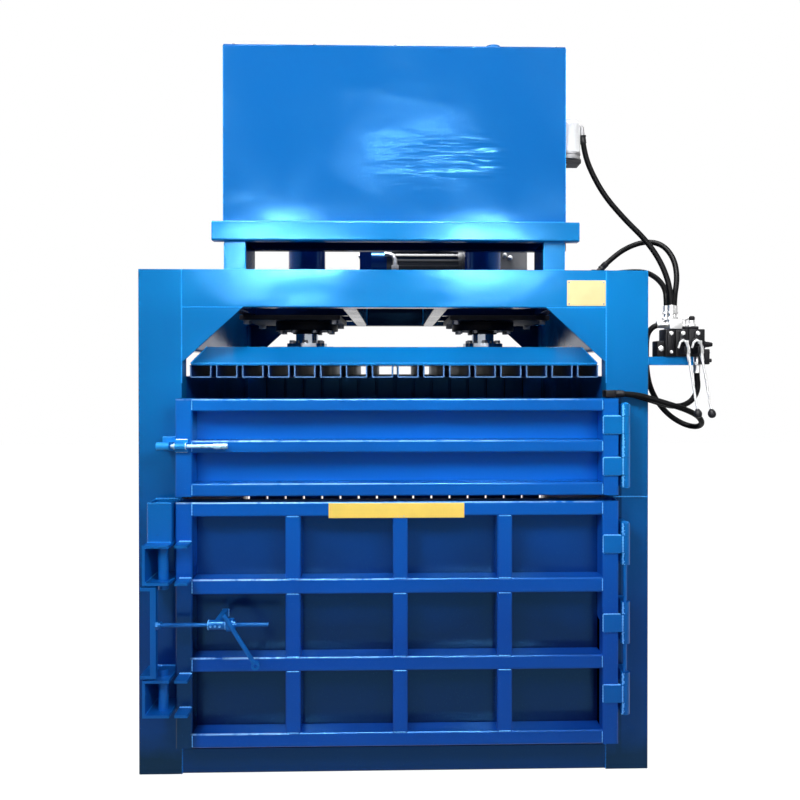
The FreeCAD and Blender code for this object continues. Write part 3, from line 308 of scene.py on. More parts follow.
PLAIN = {
    "mount_black": dict(colour=(0.012, 0.012, 0.016), rough=0.4, metallic=0.0),
    "bolt_steel": dict(colour=(0.35, 0.35, 0.37), rough=0.35),
    # worn paint, pale also as painted highlight, on the slide bolt and its rings
    "worn_highlight_paint": dict(colour=(0.4, 0.72, 0.95), rough=0.22, metallic=0.2, grain=60.0, spread=0.1, dark=0.55),
    "rod_chrome": dict(colour=(0.5, 0.55, 0.62), rough=0.08, spread=0.06),
    "motor_dark": dict(colour=(0.03, 0.035, 0.05), rough=0.35, metallic=0.0),
    "pump_iron": dict(colour=(0.008, 0.008, 0.011), rough=0.38, metallic=0.0, grain=90.0, spread=0.2,
                      dark=0.6, bump=0.0012),
    "filter_grey": dict(colour=(0.3, 0.3, 0.31), rough=0.45, metallic=0.3),
    "filter_white": dict(colour=(0.95, 0.96, 0.97), rough=0.3, metallic=0.0, dark=0.93),
    "fitting_steel": dict(colour=(0.6, 0.6, 0.6), rough=0.28),
    "lever_white": dict(colour=(0.8, 0.8, 0.8), rough=0.25, metallic=0.0, dark=0.85),
    "strip_yellow": dict(colour=(0.95, 0.66, 0.1), rough=0.35, metallic=0.0, dark=0.92),
    "plate_beige": dict(colour=(0.85, 0.66, 0.28), rough=0.4, metallic=0.0, dark=0.9),
}
paint = {name: enamel(name, **settings) for name, settings in ENAMELS.items()}
paint.update((name, plain_metal(name, **settings)) for name, settings in PLAIN.items())
paint["hose_rubber"] = rubber("hose_rubber")

OWN_PAINT = {"upper_door_skin": "upper_skin", "lower_door_skin": "lower_skin", "slide_bolt": "worn_highlight_paint",
             "bolt_guide": "weld_blue", "bolt_keeper": "weld_blue"}     # nodes not painted as their slot
for part in frame["record"]["subparts"]:
    materials = nodes[part["node"]].data.materials
    materials.clear()
    materials.append(paint[OWN_PAINT.get(part["node"], part["material_slot"])])

# ---- edges of the CAD nodes -----------------------------------------------------------


def smooth_group():
    """Geometry nodes that shade a mesh smooth, except across edges sharper than CAD_SHARP."""
    group = bpy.data.node_groups.new("smooth_corners", "GeometryNodeTree")
    group.interface.new_socket("Geometry", in_out="INPUT", socket_type="NodeSocketGeometry")
    group.interface.new_socket("Geometry", in_out="OUTPUT", socket_type="NodeSocketGeometry")
    source = group.nodes.new("NodeGroupInput")
    result = group.nodes.new("NodeGroupOutput")
    faces = group.nodes.new("GeometryNodeSetShadeSmooth")
    edges = group.nodes.new("GeometryNodeSetShadeSmooth")
    edges.domain = "EDGE"
    edges.inputs["Shade Smooth"].default_value = False
    angle = group.nodes.new("GeometryNodeInputMeshEdgeAngle")
    sharp = group.nodes.new("FunctionNodeCompare")
    sharp.operation = "GREATER_THAN"
    sharp.inputs[1].default_value = CAD_SHARP
    group.links.new(angle.outputs["Unsigned Angle"], sharp.inputs[0])
    group.links.new(sharp.outputs["Result"], edges.inputs["Selection"])
    group.links.new(source.outputs[0], faces.inputs["Geometry"])
    group.links.new(faces.outputs[0], edges.inputs["Geometry"])
    group.links.new(edges.outputs[0], result.inputs[0])
    return group


SMOOTH = smooth_group()
THIN_NODES = ("yellow_strip", "blank_plate")
PLATE_NODES = ("gussets", "side_walls", "tank_lid", "oil_tank", "platen_skirt", "platen_deck",
               "filter_bracket", "cylinder_mounts", "power_unit_plate", "lower_door_skin", "upper_door_skin")


def cleaned(node):
    """A CAD node with its doubled points welded and flat faces joined, by modifiers that leave its mesh."""
    obj = nodes[node]
    obj.modifiers.new("weld", "WELD").merge_threshold = 0.00002
    flat = obj.modifiers.new("flat", "DECIMATE")
    flat.decimate_type = "DISSOLVE"
    flat.angle_limit = math.radians(0.5)
    return obj


def smooth_corners(node):
    """Rolled corners and round bars shaded smooth."""
    obj = cleaned(node)
    obj.modifiers.new("smooth", "NODES").node_group = SMOOTH
    obj.modifiers.new("normal", "WEIGHTED_NORMAL").keep_sharp = True


def round_edges(node, width):
    """Ground edges on sheet and plate."""
    bevel = cleaned(node).modifiers.new("bevel", "BEVEL")
    bevel.width = width
    bevel.segments = 2
    bevel.limit_method = "ANGLE"
    bevel.angle_limit = math.radians(40)
    bevel.use_clamp_overlap = False
    bevel.harden_normals = True


for part in frame["record"]["subparts"]:
    if part["node"] in THIN_NODES:
        round_edges(part["node"], 0.0009)
    elif part["node"] in PLATE_NODES:
        round_edges(part["node"], 0.0018)
    else:
        smooth_corners(part["node"])

# ---- mesh makers ----------------------------------------------------------------------
rng = random.Random(11)
BEAD_STEP = 0.0035                     # from ripple to ripple of a weld
DOWN, UP, FRONT, BACK, RIGHT, LEFT = (0, 0, -1), (0, 0, 1), (0, -1, 0), (0, 1, 0), (1, 0, 0), (-1, 0, 0)


def circle(radius, count, start=0.5):
    """Points evenly spread on a circle, as (across, up) pairs."""
    angles = (2 * math.pi * (k + start) / count for k in range(count))
    return [(radius * math.cos(angle), radius * math.sin(angle)) for angle in angles]


def facing(axis):
    """The turn that points Z along an axis."""
    return Vector(UP).rotation_difference(Vector(axis)).to_matrix()


def ring(bm, place, turn, radius, steps, along=0.0, start=0.0):
    """A ring of vertices about the turned Z axis through a place."""
    spots = [Vector((*spot, along)) for spot in circle(radius, steps, start)]
    return [bm.verts.new(Vector(place) + turn @ spot) for spot in spots]


def skin(bm, rings, ends=True):
    """Faces from ring to ring, and over both ends or else from the last ring to the first."""
    steps = len(rings[0])
    for low, high in zip(rings, rings[1:] if ends else rings[1:] + rings[:1]):
        for i in range(steps):
            j = (i + 1) % steps
            bm.faces.new((low[i], low[j], high[j], high[i]))
    if ends:
        bm.faces.new(rings[0][::-1])
        bm.faces.new(rings[-1])


def turned(bm, profile, place, axis=UP, steps=24):
    """A turned form: (along, radius) pairs about an axis, closed at both ends; six steps make a hexagon."""
    turn = facing(axis)
    skin(bm, [ring(bm, place, turn, radius, steps, along, 0.5) for along, radius in profile])


def spun(bm, loop, place, axis, steps=24):
    """A collar: a closed loop of (along, radius) pairs swept about an axis."""
    turn = facing(axis)
    skin(bm, [ring(bm, place, turn, radius, steps, along) for along, radius in loop], ends=False)


def pipe(bm, points, radii, steps=12):
    """A round bar through the points with a radius at each, closed at both ends."""
    points = [Vector(p) for p in points]
    rings = []
    for i, (point, radius) in enumerate(zip(points, radii)):
        way = points[min(i + 1, len(points) - 1)] - points[max(i - 1, 0)]
        rings.append(ring(bm, point, facing(way.normalized()), radius, steps))
    skin(bm, rings)


def hexagon(bm, place, axis, across, height, start=0.0):
    """A hexagon with chamfered corners, from start to start + height along its axis."""
    corner = across / math.sqrt(3)
    end = start + height
    turned(bm, [(start, 0.9 * corner), (start + 0.1 * height, corner), (end - 0.14 * height, corner),
                (end, 0.88 * corner)], place, axis, 6)


def hex_bolt(bm, place, axis, across, height):
    """A bolt head on its washer, seated at place and pointing along axis."""
    turned(bm, [(0, 0.6 * across), (0.1 * across, 0.6 * across), (0.12 * across, 0.57 * across)], place, axis)
    hexagon(bm, place, axis, across, height, 0.12 * across)


def block(bm, x, y, z, bevel=0.0015):
    """A block with broken edges, from three (low, high) pairs."""
    size = [high - low for low, high in (x, y, z)]
    middle = [(high + low) / 2 for low, high in (x, y, z)]
    made = bmesh.ops.create_cube(bm, size=1.0, matrix=Matrix.LocRotScale(Vector(middle), None, Vector(size)))
    edges = {edge for vert in made["verts"] for edge in vert.link_edges}
    bmesh.ops.bevel(bm, geom=list(edges), offset=bevel, segments=2, affect="EDGES", profile=0.5)


def bead(bm, start, end, radius=0.003):
    """A rippled weld bead laid straight from start to end, thin at both."""
    start, end = Vector(start), Vector(end)
    way = end - start
    count = max(2, int(way.length / BEAD_STEP))
    turn = facing(way.normalized())
    rings = []
    for i in range(count + 1):
        size = radius * (0.88 + 0.16 * math.sin(2.1 * i) + rng.uniform(-0.1, 0.1))
        if i in (0, count):
            size *= 0.55
        rings.append(ring(bm, start + way * (i / count), turn, size, 8))
    skin(bm, rings)


def bead_x(bm, low, high, y, z, radius=0.003):
    """A bead along X; the next two lay one along Y and along Z."""
    bead(bm, (low, y, z), (high, y, z), radius)


def bead_y(bm, x, low, high, z, radius=0.003):
    bead(bm, (x, low, z), (x, high, z), radius)


def bead_z(bm, x, y, low, high, radius=0.003):
    bead(bm, (x, y, low), (x, y, high), radius)


# ---- weld beads -----------------------------------------------------------------------
LOWER_RAILS = ((0.134, 0.186), (0.409, 0.461), (0.689, 0.744), (0.970, 1.022))
UPPER_RAILS = ((1.043, 1.090), (1.200, 1.245), (1.350, 1.395))
MULLIONS = (-0.37, 0.018, 0.398)
STILES = (-0.732, 0.755)               # inner edges of the stiles
LEAVES = {"lower_door": (0.319, 0.577, 0.865), "upper_door": (1.148, 1.299)}
LEAF = 0.0315                          # half height of a hinge leaf
KNUCKLE = 0.0756                       # from a leaf's middle to the far end of the frame's knuckle
PIN_X = 0.8293                         # where a knuckle's bead shows beside the door
LOCK_PAIRS = ((0.274, 0.406), (0.740, 0.882))
POST_X = 0.79                          # inner edge of the posts
PORTAL_FACE, PORTAL_BACK = 0.6495, 0.5855      # distance in Y of the beads before and behind a portal
PLATE_FACE = -0.6515                   # beads of what is welded to the front posts
RAIL_FACE, LEAF_FACE = -0.7315, -0.7335        # beads on the rails, and of what is welded to the doors
FIRST_RIB, RIB_PITCH = 0.096, 0.32975  # of the side walls, upwards
CHANNEL_PITCH = 0.0975                 # of the platen
PLATEN_LOW = 1.5245                    # lower edge of the skirt

bm = bmesh.new()
for side in (-1, 1):
    inner = side * POST_X
    for front, gusset_foot in ((-1, 1.45), (1, 1.527)):
        face, back = front * PORTAL_FACE, front * PORTAL_BACK
        bead_z(bm, inner, face, gusset_foot, 1.872, 0.0034)
        bead_x(bm, side * 0.565, inner, face, 1.732, 0.0026)
        bead_z(bm, inner, front * 0.648, 0.002, 0.096)
        bead_z(bm, side * 0.8505, back, 1.574, 1.87)
        for k in range(5):
            z = FIRST_RIB + k * RIB_PITCH
            bead_z(bm, side * 0.8565, back, z + 0.006, z + 0.054)
            bead_x(bm, side * 0.8, side * 0.856, back, z + 0.0605)
    for x in (side * 0.556, side * 0.634):
        bead_y(bm, x, -0.645, -0.445, 1.8725)
        bead_z(bm, x, -0.645, 1.876, 1.972, 0.0016)
    for z in (1.8725, 1.9755):
        bead_x(bm, side * 0.556, side * 0.634, -0.6455, z)
    bead_z(bm, side * 0.6362, -0.6502, 2.052, 2.7, 0.0016)
    for low, high in ((0.108, 0.168), (0.6, 0.66), (1.29, 1.475)):
        bead_z(bm, side * 0.9305, -PLATE_FACE, low, high)
        bead_x(bm, inner, side * 0.93, -PLATE_FACE, high)
        bead_x(bm, inner, side * 0.93, -PLATE_FACE, low)
    for x in (side * 0.1495, side * 0.2045, side * 0.5955, side * 0.6505):
        bead_z(bm, x, -0.5845, 1.738, 1.866)
        bead_z(bm, x, 0.5845, 1.738, 1.866)
for y in (PLATE_FACE, -0.3885):
    bead_x(bm, -0.636, 0.636, y, 2.0495, 0.0036)
bead_x(bm, 0.816, 0.947, -0.6503, 1.024, 0.0028)
for low, high in LOCK_PAIRS:
    for z in (low, high):
        bead_x(bm, -0.89, -0.797, PLATE_FACE, z, 0.0034)
    for z in (low + 0.0105, high - 0.0105):
        bead_y(bm, -0.8795, -0.795, -0.652, z, 0.0034)
    bead_z(bm, -0.8905, PLATE_FACE, low, high)
for x in (-0.888, -0.8):
    bead_z(bm, x, PLATE_FACE, 0.885, 1.02, 0.0034)
bead_x(bm, -0.886, -0.802, -0.749, 1.0225, 0.004)
bead_x(bm, -0.886, -0.802, -0.652, 1.0225, 0.004)
bead_x(bm, -0.886, -0.802, -0.7495, 0.8835, 0.0034)
bead_y(bm, 0.951, -0.64, -0.59, 1.5495, 0.0034)
bead_z(bm, 0.951, -0.6405, 1.517, 1.549, 0.0034)
bead_y(bm, 0.637, -0.538, -0.462, 2.3185)
for z in (1.203, 1.251):
    bead_x(bm, -0.859, -0.798, -0.6525, z)
mesh_object("frame_welds", bm, "frame", "frame_blue", "weld_blue")

SPATTER = [(0, 0.0026), (0.0018, 0.0018), (0.0026, 0.0004)]
bm = bmesh.new()
for body, middles in LEAVES.items():
    thick = 0.0042 if body == "upper_door" else 0.0032
    for z in middles:
        for sign in (-1, 1):
            near, far = z + sign * (LEAF + 0.001), z + sign * KNUCKLE
            for x in (0.8285, 0.8535):
                bead_z(bm, x, PLATE_FACE, near, far)
            bead_z(bm, PIN_X, -0.7345, near, far, thick)
            for k in range(9):
                spot = (PIN_X + rng.uniform(-0.004, 0.006), -0.736, near + (far - near) * (k + 0.5) / 9)
                turned(bm, SPATTER, spot, FRONT, 8)
mesh_object("hinge_welds", bm, "frame", "frame_blue", "weld_highlight")

for door, rails, mullions in (("lower_door", LOWER_RAILS, MULLIONS), ("upper_door", UPPER_RAILS, ())):
    bm = bmesh.new()
    for low, high in rails:
        for x in STILES:
            bead_z(bm, x, RAIL_FACE, low + 0.005, high - 0.005, 0.0024)
    for (_, below), (above, _) in zip(rails, rails[1:]):
        for middle in mullions:
            for z in (below, above):
                bead_x(bm, middle - 0.022, middle + 0.022, RAIL_FACE, z, 0.0024)
    for z in LEAVES[door]:
        bead_x(bm, 0.758, 0.822, LEAF_FACE, z + LEAF, 0.0038)
        bead_x(bm, 0.758, 0.822, LEAF_FACE, z - LEAF, 0.0026)
        bead_z(bm, 0.7575, -0.734, z - LEAF, z + LEAF, 0.0034)
        bead_z(bm, 0.8275, -0.7392, z - LEAF + 0.001, z + LEAF - 0.001, 0.0036)
    if door == "lower_door":
        for low, high in LOCK_PAIRS:
            for z in (low, high - 0.01):
                bead_x(bm, -0.777, -0.733, LEAF_FACE, z + 0.0105, 0.0036)
                bead_x(bm, -0.777, -0.733, LEAF_FACE, z - 0.0005)
        for x in (-0.6385, -0.6175):
            bead_z(bm, x, -0.654, 0.586, 0.614, 0.0034)
    mesh_object(door + "_welds", bm, door, "door_blue", "weld_highlight")

bm = bmesh.new()
for side in (-1, 1):
    for front in (-1, 1):
        bead(bm, (side * 0.768, front * 0.605, PLATEN_LOW), (side * 0.722, front * 0.539, 1.588), 0.0034)
    bead_x(bm, -0.766, 0.766, side * 0.605, PLATEN_LOW, 0.0026)
    bead_y(bm, side * 0.768, -0.605, 0.605, PLATEN_LOW, 0.0026)
for k in range(16):
    middle = CHANNEL_PITCH * (k - 7.5)
    for x in (middle - 0.041, middle + 0.041):
        for y in (-0.603, 0.575):
            bead_y(bm, x, y, y + 0.028, 1.5155, 0.0022)
mesh_object("platen_welds", bm, "platen", "platen_blue", "weld_blue")

# ---- bolts and screws -----------------------------------------------------------------
CYLINDERS = (-0.4, 0.4)                # x of the two press cylinders, at y = 0
GLAND_LOW = 1.674                      # underside of the cylinder mounts
MOTOR = (0.25, 2.016)                  # y, z of the axis of motor and pump


def bolts(bm, xs, ys, z, axis, across, height):
    """A bolt head at every pair of the xs and ys."""
    for x in xs:
        for y in ys:
            hex_bolt(bm, (x, y, z), axis, across, height)


bm = bmesh.new()
for x in CYLINDERS:
    for across, ahead in circle(0.118, 8):
        place = (x + across, ahead, GLAND_LOW)
        turned(bm, [(0, 0.0136), (0.003, 0.0136)], place, DOWN)
        hexagon(bm, place, DOWN, 0.0226, 0.009, 0.003)
        turned(bm, [(0, 0.008), (0.038, 0.008)], place, UP, 12)
gland = mesh_object("gland_bolt_heads", bm, "frame", "bolt_steel")
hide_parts("gland_bolts")

bm = bmesh.new()
bolts(bm, (-0.262, -0.634, 0.262, 0.634), (-0.19, 0.19), 1.712, DOWN, 0.03, 0.013)
bolts(bm, (0.66,), (-0.475, -0.525), 2.302, DOWN, 0.013, 0.005)
bolts(bm, (0.04, 0.24), (0.17, 0.33), 1.898, UP, 0.019, 0.008)
for ahead, up in circle(1.0, 4):
    hex_bolt(bm, (-0.102, MOTOR[0] + 0.076 * ahead, MOTOR[1] + 0.076 * up), LEFT, 0.017, 0.008)
    hex_bolt(bm, (-0.17, MOTOR[0] + 0.034 * ahead, MOTOR[1] + 0.05 * up), LEFT, 0.013, 0.006)
bolts(bm, (-0.19, 0.42, 0.65), (0.13, 0.38), 1.884, UP, 0.019, 0.008)
bolts(bm, (0.97,), (-0.628,), 1.543, DOWN, 0.013, 0.005)
bolts(bm, (1.1,), (-0.632,), 1.543, DOWN, 0.013, 0.005)
bolts(bm, (-0.6, -0.3, 0.0, 0.3, 0.6), (-0.632, -0.408), 2.705, UP, 0.013, 0.0055)
mesh_object("frame_bolts", bm, "frame", "bolt_steel")

bm = bmesh.new()
for x in CYLINDERS:
    for across, ahead in circle(0.072, 6):
        hex_bolt(bm, (x + across, ahead, 1.618), UP, 0.024, 0.011)
mesh_object("rod_foot_bolts", bm, "platen", "bolt_steel")

bm = bmesh.new()
for x in CYLINDERS:
    turned(bm, [(-0.001, 0.056), (0.004, 0.064), (0.012, 0.064), (0.014, 0.053)], (x, 0, GLAND_LOW), DOWN, 48)
mesh_object("rod_wipers", bm, "frame", "mount_black")

bm = bmesh.new()
for x in (0.65, 0.78):
    for z in (1.746, 1.827):
        turned(bm, [(0, 0.0035), (0.0012, 0.0032), (0.002, 0.0018)], (x, -0.652, z), FRONT, 16)
mesh_object("plate_rivets", bm, "frame", "plate_beige", "bolt_steel")

# ---- hand valve -----------------------------------------------------------------------
LEVER_X = (1.078, 1.128)
SPOOL_Z = 1.602
PIVOT = (-0.700, 1.572)                # y, z of the levers' pivot
KNOB = (-0.8, 1.345)                   # y, z of the middle of a lever's knob
SECTIONS = ((1.015, 1.0525), (1.0535, 1.1035), (1.1045, 1.165))        # from and to x of the castings
SIDE_PORT = (1.165, -0.61, 1.596)
RELIEF = (1.128, -0.612)               # x, y of the relief valve
RETURN_PORT = (1.099, -0.604, 1.6645)

bm = bmesh.new()
block(bm, (0.986, 1.0145), (-0.640, -0.580), (1.549, 1.609), 0.004)
for low, high in SECTIONS:
    block(bm, (low, high), (-0.648, -0.572), (1.549, 1.653), 0.004)
    middle = (low + high) / 2
    block(bm, (middle - 0.013, middle + 0.013), (-0.655, -0.565), (1.556, 1.646), 0.005)
block(bm, (1.1655, 1.187), (-0.640, -0.580), (1.520, 1.578), 0.004)
block(bm, (1.09, 1.145), (-0.638, -0.588), (1.652, 1.664), 0.003)
for x in LEVER_X:
    block(bm, (x - 0.016, x - 0.007), (-0.714, -0.650), (1.558, 1.586), 0.003)
    turned(bm, [(0, 0.005), (0.024, 0.005)], (x - 0.016, *PIVOT), RIGHT, 16)
    spun(bm, [(0, 0.0085), (0, 0.017), (0.006, 0.0165), (0.008, 0.014), (0.014, 0.0135), (0.014, 0.0085)],
         (x, -0.653, SPOOL_Z), FRONT)
    turned(bm, [(0, 0.016), (0.018, 0.016), (0.022, 0.012), (0.03, 0.0115)], (x, -0.567, SPOOL_Z), BACK)
for y, z in ((-0.628, 1.535), (-0.592, 1.535), (-0.61, 1.565)):
    hexagon(bm, (1.187, y, z), RIGHT, 0.014, 0.009)
turned(bm, [(0, 0.013), (0.012, 0.013), (0.014, 0.011), (0.026, 0.0105), (0.041, 0.0075)], SIDE_PORT, RIGHT)
hexagon(bm, SIDE_PORT, RIGHT, 0.027, 0.012, 0.002)
casting = mesh_object("valve_casting", bm, "frame", "pump_iron")
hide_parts("valve_body")

bm = bmesh.new()
block(bm, (1.030, 1.078), (-0.650, -0.585), (1.6535, 1.690), 0.003)
for x, y in ((1.042, -0.632), (1.062, -0.606), (1.0345, -0.602)):
    hexagon(bm, (x, y, 1.690), UP, 0.0265, 0.010)
    turned(bm, [(0, 0.0095), (0.021, 0.0095)], (x, y, 1.692))
turned(bm, [(0, 0.0118), (0.012, 0.0118), (0.013, 0.0095), (0.02, 0.0095)], (*RELIEF, 1.664))
hexagon(bm, (*RELIEF, 1.664), UP, 0.026, 0.009)
hexagon(bm, (*RELIEF, 1.680), UP, 0.019, 0.008)
pipe(bm, [RETURN_PORT, (1.099, -0.604, 1.678), (1.1, -0.606, 1.69), (1.106, -0.611, 1.696),
          (1.114, -0.613, 1.697)], [0.0095, 0.0095, 0.009, 0.008, 0.008])
hexagon(bm, RETURN_PORT, UP, 0.022, 0.008)
hexagon(bm, (1.15, -0.605, 1.519), UP, 0.0235, 0.012)
turned(bm, [(0, 0.0105), (0.02, 0.0105)], (1.15, -0.605, 1.529))
for low, high in SECTIONS:
    hexagon(bm, ((low + high) / 2, -0.655, 1.567), FRONT, 0.011, 0.005)
    hexagon(bm, ((low + high) / 2, -0.655, 1.637), FRONT, 0.014, 0.005)
hexagon(bm, (1.0, -0.64, 1.58), FRONT, 0.019, 0.006)
fittings = mesh_object("valve_adaptors", bm, "frame", "fitting_steel")
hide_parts("valve_fittings")

bm = bmesh.new()
turned(bm, [(0, 0.0075), (0.002, 0.0105), (0.012, 0.0105), (0.016, 0.007)], (*RELIEF, 1.688))
for across, ahead in circle(0.0103, 10, 0):
    x, y = RELIEF[0] + across, RELIEF[1] + ahead
    pipe(bm, [(x, y, 1.690), (x, y, 1.700)], (0.0012, 0.0012), 6)
mesh_object("relief_cap", bm, "frame", "pump_iron")

for number, x in enumerate(LEVER_X, 1):
    body = "lever_%d" % number
    y, z = PIVOT
    way = Vector((0, KNOB[0] - y, KNOB[1] - z)).normalized()
    bm = bmesh.new()
    spun(bm, [(-0.005, 0.0053), (-0.005, 0.012), (-0.004, 0.013), (0.004, 0.013), (0.005, 0.012),
              (0.005, 0.0053)], (x, y, z), RIGHT)
    block(bm, (x - 0.004, x + 0.004), (y - 0.004, y + 0.004), (z + 0.010, SPOOL_Z + 0.006))
    start = Vector((x, y, z)) + 0.0125 * way
    end = Vector((x, *KNOB)) - 0.012 * way
    pipe(bm, [start, start + 0.03 * way, start + 0.034 * way, end - 0.05 * way, end],
         [0.0068, 0.0062, 0.0046, 0.004, 0.0042])
    hook = [(x + 0.001, -0.713, z - 0.012), (x - 0.002, -0.716, z + 0.012), (x - 0.01, -0.716, z + 0.03),
            (x - 0.022, -0.716, z + 0.037), (x - 0.033, -0.716, z + 0.028), (x - 0.039, -0.716, z + 0.008)]
    pipe(bm, hook, [0.0048, 0.0052, 0.0052, 0.005, 0.0046, 0.0038])
    lever = mesh_object("lever_rod_%d" % number, bm, body, "lever_white")
    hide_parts("valve_lever_%d" % number)
    bm = bmesh.new()
    turned(bm, [(0, 0.0075), (0.003, 0.0085), (0.008, 0.0125), (0.016, 0.0142), (0.024, 0.0128),
                (0.029, 0.009), (0.031, 0.004)], Vector((x, *KNOB)) - 0.014 * way, way)
    mesh_object("lever_knob_%d" % number, bm, body, "mount_black")

# ---- return filter --------------------------------------------------------------------
FILTER = (0.682, -0.5)                 # x, y of its axis
bm = bmesh.new()
turned(bm, [(2.346, 0.043), (2.348, 0.0445), (2.352, 0.0445), (2.354, 0.0435), (2.452, 0.0435),
            (2.462, 0.0415), (2.471, 0.036), (2.477, 0.027), (2.480, 0.014), (2.4815, 0.013),
            (2.482, 0.003)], (*FILTER, 0), UP, 40)
for across, ahead in circle(0.0425, 12, 0):
    x, y = FILTER[0] + across, FILTER[1] + ahead
    pipe(bm, [(x, y, 2.44), (x, y, 2.452), (x, y, 2.461)], (0.002, 0.0022, 0.0014), 6)
canister = mesh_object("filter_canister", bm, "frame", "filter_white")
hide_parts("return_filter")
bm = bmesh.new()
turned(bm, [(2.3185, 0.036), (2.321, 0.0435), (2.329, 0.0445), (2.331, 0.042), (2.338, 0.042),
            (2.34, 0.0448), (2.3465, 0.0448), (2.3465, 0.03)], (*FILTER, 0), UP, 40)
mesh_object("filter_head", bm, "frame", "fitting_steel", "filter_grey")

# ---- fittings on the oil lines --------------------------------------------------------
bm = bmesh.new()
block(bm, (0.775, 0.812), (-0.703, -0.650), (1.398, 1.424), 0.003)
for y in (-0.690, -0.666):
    hexagon(bm, (0.812, y, 1.411), RIGHT, 0.0235, 0.006)
block(bm, (0.792, 0.822), (-0.465, -0.435), (1.872, 1.886), 0.002)
pipe(bm, [(0.803, -0.45, 1.883), (0.808, -0.45, 1.888), (0.822, -0.45, 1.902)], [0.0115, 0.0115, 0.0105])
block(bm, (0.808, 0.84), (-0.366, -0.334), (1.872, 1.912), 0.002)
hexagon(bm, (0.838, -0.35, 1.898), RIGHT, 0.0235, 0.012)
line_fittings = mesh_object("line_fittings", bm, "frame", "fitting_steel", "pump_iron")
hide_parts("hose_fittings")
bm = bmesh.new()
pipe(bm, [(0.715, -0.5, 2.458), (0.728, -0.5, 2.456), (0.7335, -0.5, 2.449), (0.735, -0.5, 2.42)],
     [0.008, 0.008, 0.0085, 0.0095])
mesh_object("filter_elbow", bm, "frame", "fitting_steel", "filter_grey")

bm = bmesh.new()
turned(bm, [(0, 0.016), (0.02, 0.016), (0.022, 0.012), (0.07, 0.012), (0.072, 0.017), (0.09, 0.017)],
       (0.0, 0.135, 1.884))
hexagon(bm, (0.0, 0.135, 1.974), UP, 0.034, 0.02)
pipe(bm, [(0.0, 0.135, 1.99), (0.0, 0.135, 2.02), (-0.012, 0.135, 2.04), (-0.035, 0.135, 2.048)], [0.011] * 4)
hexagon(bm, (-0.035, 0.135, 2.048), LEFT, 0.026, 0.016)
for x, z in ((0.5, 2.04), (0.53, 2.052), (0.556, 2.04)):
    turned(bm, [(0, 0.011), (0.01, 0.011), (0.012, 0.008), (0.03, 0.0075), (0.033, 0.0045)],
           (x, 0.206, z), FRONT, 20)
    hexagon(bm, (x, 0.206, z), FRONT, 0.021, 0.007)
mesh_object("unit_fittings", bm, "frame", "fitting_steel")

# ---- starter box, motor and pump ------------------------------------------------------
bm = bmesh.new()
for z in (1.92, 2.08):
    turned(bm, [(0, 0.005), (0.03, 0.005)], (0.6325, 0.204, z), UP, 12)
turned(bm, [(0, 0.012), (0.006, 0.012), (0.008, 0.01)], (0.472, 0.206, 1.99), FRONT)
block(bm, (0.469, 0.475), (0.193, 0.199), (1.975, 2.005))
for z in (1.90, 2.11):
    block(bm, (0.455, 0.633), (0.2045, 0.2062), (z, z + 0.004), 0.0005)
block(bm, (0.1, 0.18), (0.205, 0.295), (2.118, 2.1265), 0.003)
block(bm, (0.105, 0.175), (0.21, 0.29), (2.1262, 2.1295), 0.001)
for x in (0.02, 0.26):
    block(bm, (x, x + 0.012), (0.17, 0.33), (1.897, 1.912), 0.003)
mesh_object("unit_trim", bm, "frame", "motor_dark")

# ---- lock screw, handle, slide bolt and hinges ----------------------------------------
SCREW = (-0.791, 0.600)                # y, z of the screw
THREAD = 0.003                         # pitch
BOLT = (-0.752, 1.227)                 # y, z of the slide bolt
HINGE = (0.841, -0.722)                # x, y of the pins


def collar(bm, x, middle, inner, outer):
    """A flat ring, 4 mm thick, about a line along X through a (y, z) middle."""
    spun(bm, [(0, inner), (0, outer), (0.004, outer), (0.004, inner)], (x, *middle), RIGHT, 32)


bm = bmesh.new()
for start, end in ((-0.823, -0.700), (-0.560, -0.449)):
    profile = []
    for k in range(int((end - start) / THREAD)):
        profile += [(start + THREAD * k, 0.0068), (start + THREAD * k + THREAD / 2, 0.0079)]
    profile.append((end, 0.0068))
    turned(bm, profile, (0, *SCREW), RIGHT, 16)
hexagon(bm, (-0.842, *SCREW), RIGHT, 0.026, 0.01)
mesh_object("screw_thread", bm, "draw_hooks", "fitting_blue")

bm = bmesh.new()
for x in (-0.66, -0.6):
    collar(bm, x, SCREW, 0.0075, 0.0178)
for k in range(3):
    hexagon(bm, (-0.648 + 0.016 * k, -0.8078, 0.6), FRONT, 0.008, 0.003)
bead_x(bm, -0.638, -0.618, -0.775, 0.5845)
mesh_object("hub_rings", bm, "lower_door", "fitting_blue", "weld_highlight")

bm = bmesh.new()
for ahead, up in circle(0.0215, 12, 0):
    y, z = SCREW[0] + ahead, SCREW[1] + up
    pipe(bm, [(-0.5925, y, z), (-0.5725, y, z)], (0.0018, 0.0018), 6)
mesh_object("ratchet_teeth", bm, "lock_handle", "fitting_blue")

bm = bmesh.new()
turned(bm, [(0, 0.0068), (0.003, 0.0098), (0.006, 0.0105), (0.044, 0.0105), (0.049, 0.0088),
            (0.052, 0.0055)], (-0.651, *BOLT), RIGHT, 32)
for x in (-0.64, -0.627, -0.614):
    spun(bm, [(0, 0.0099), (0.0015, 0.0114), (0.003, 0.0099)], (x, *BOLT), RIGHT, 32)
mesh_object("bolt_grip", bm, "bolt", "fitting_blue", "worn_highlight_paint")
bm = bmesh.new()
for x in (-0.7895, -0.7485):
    collar(bm, x, BOLT, 0.0082, 0.0133)
for z in (1.2055, 1.2485):
    bead_x(bm, -0.789, -0.745, LEAF_FACE, z, 0.0034)
mesh_object("guide_rings", bm, "upper_door", "door_blue", "worn_highlight_paint")

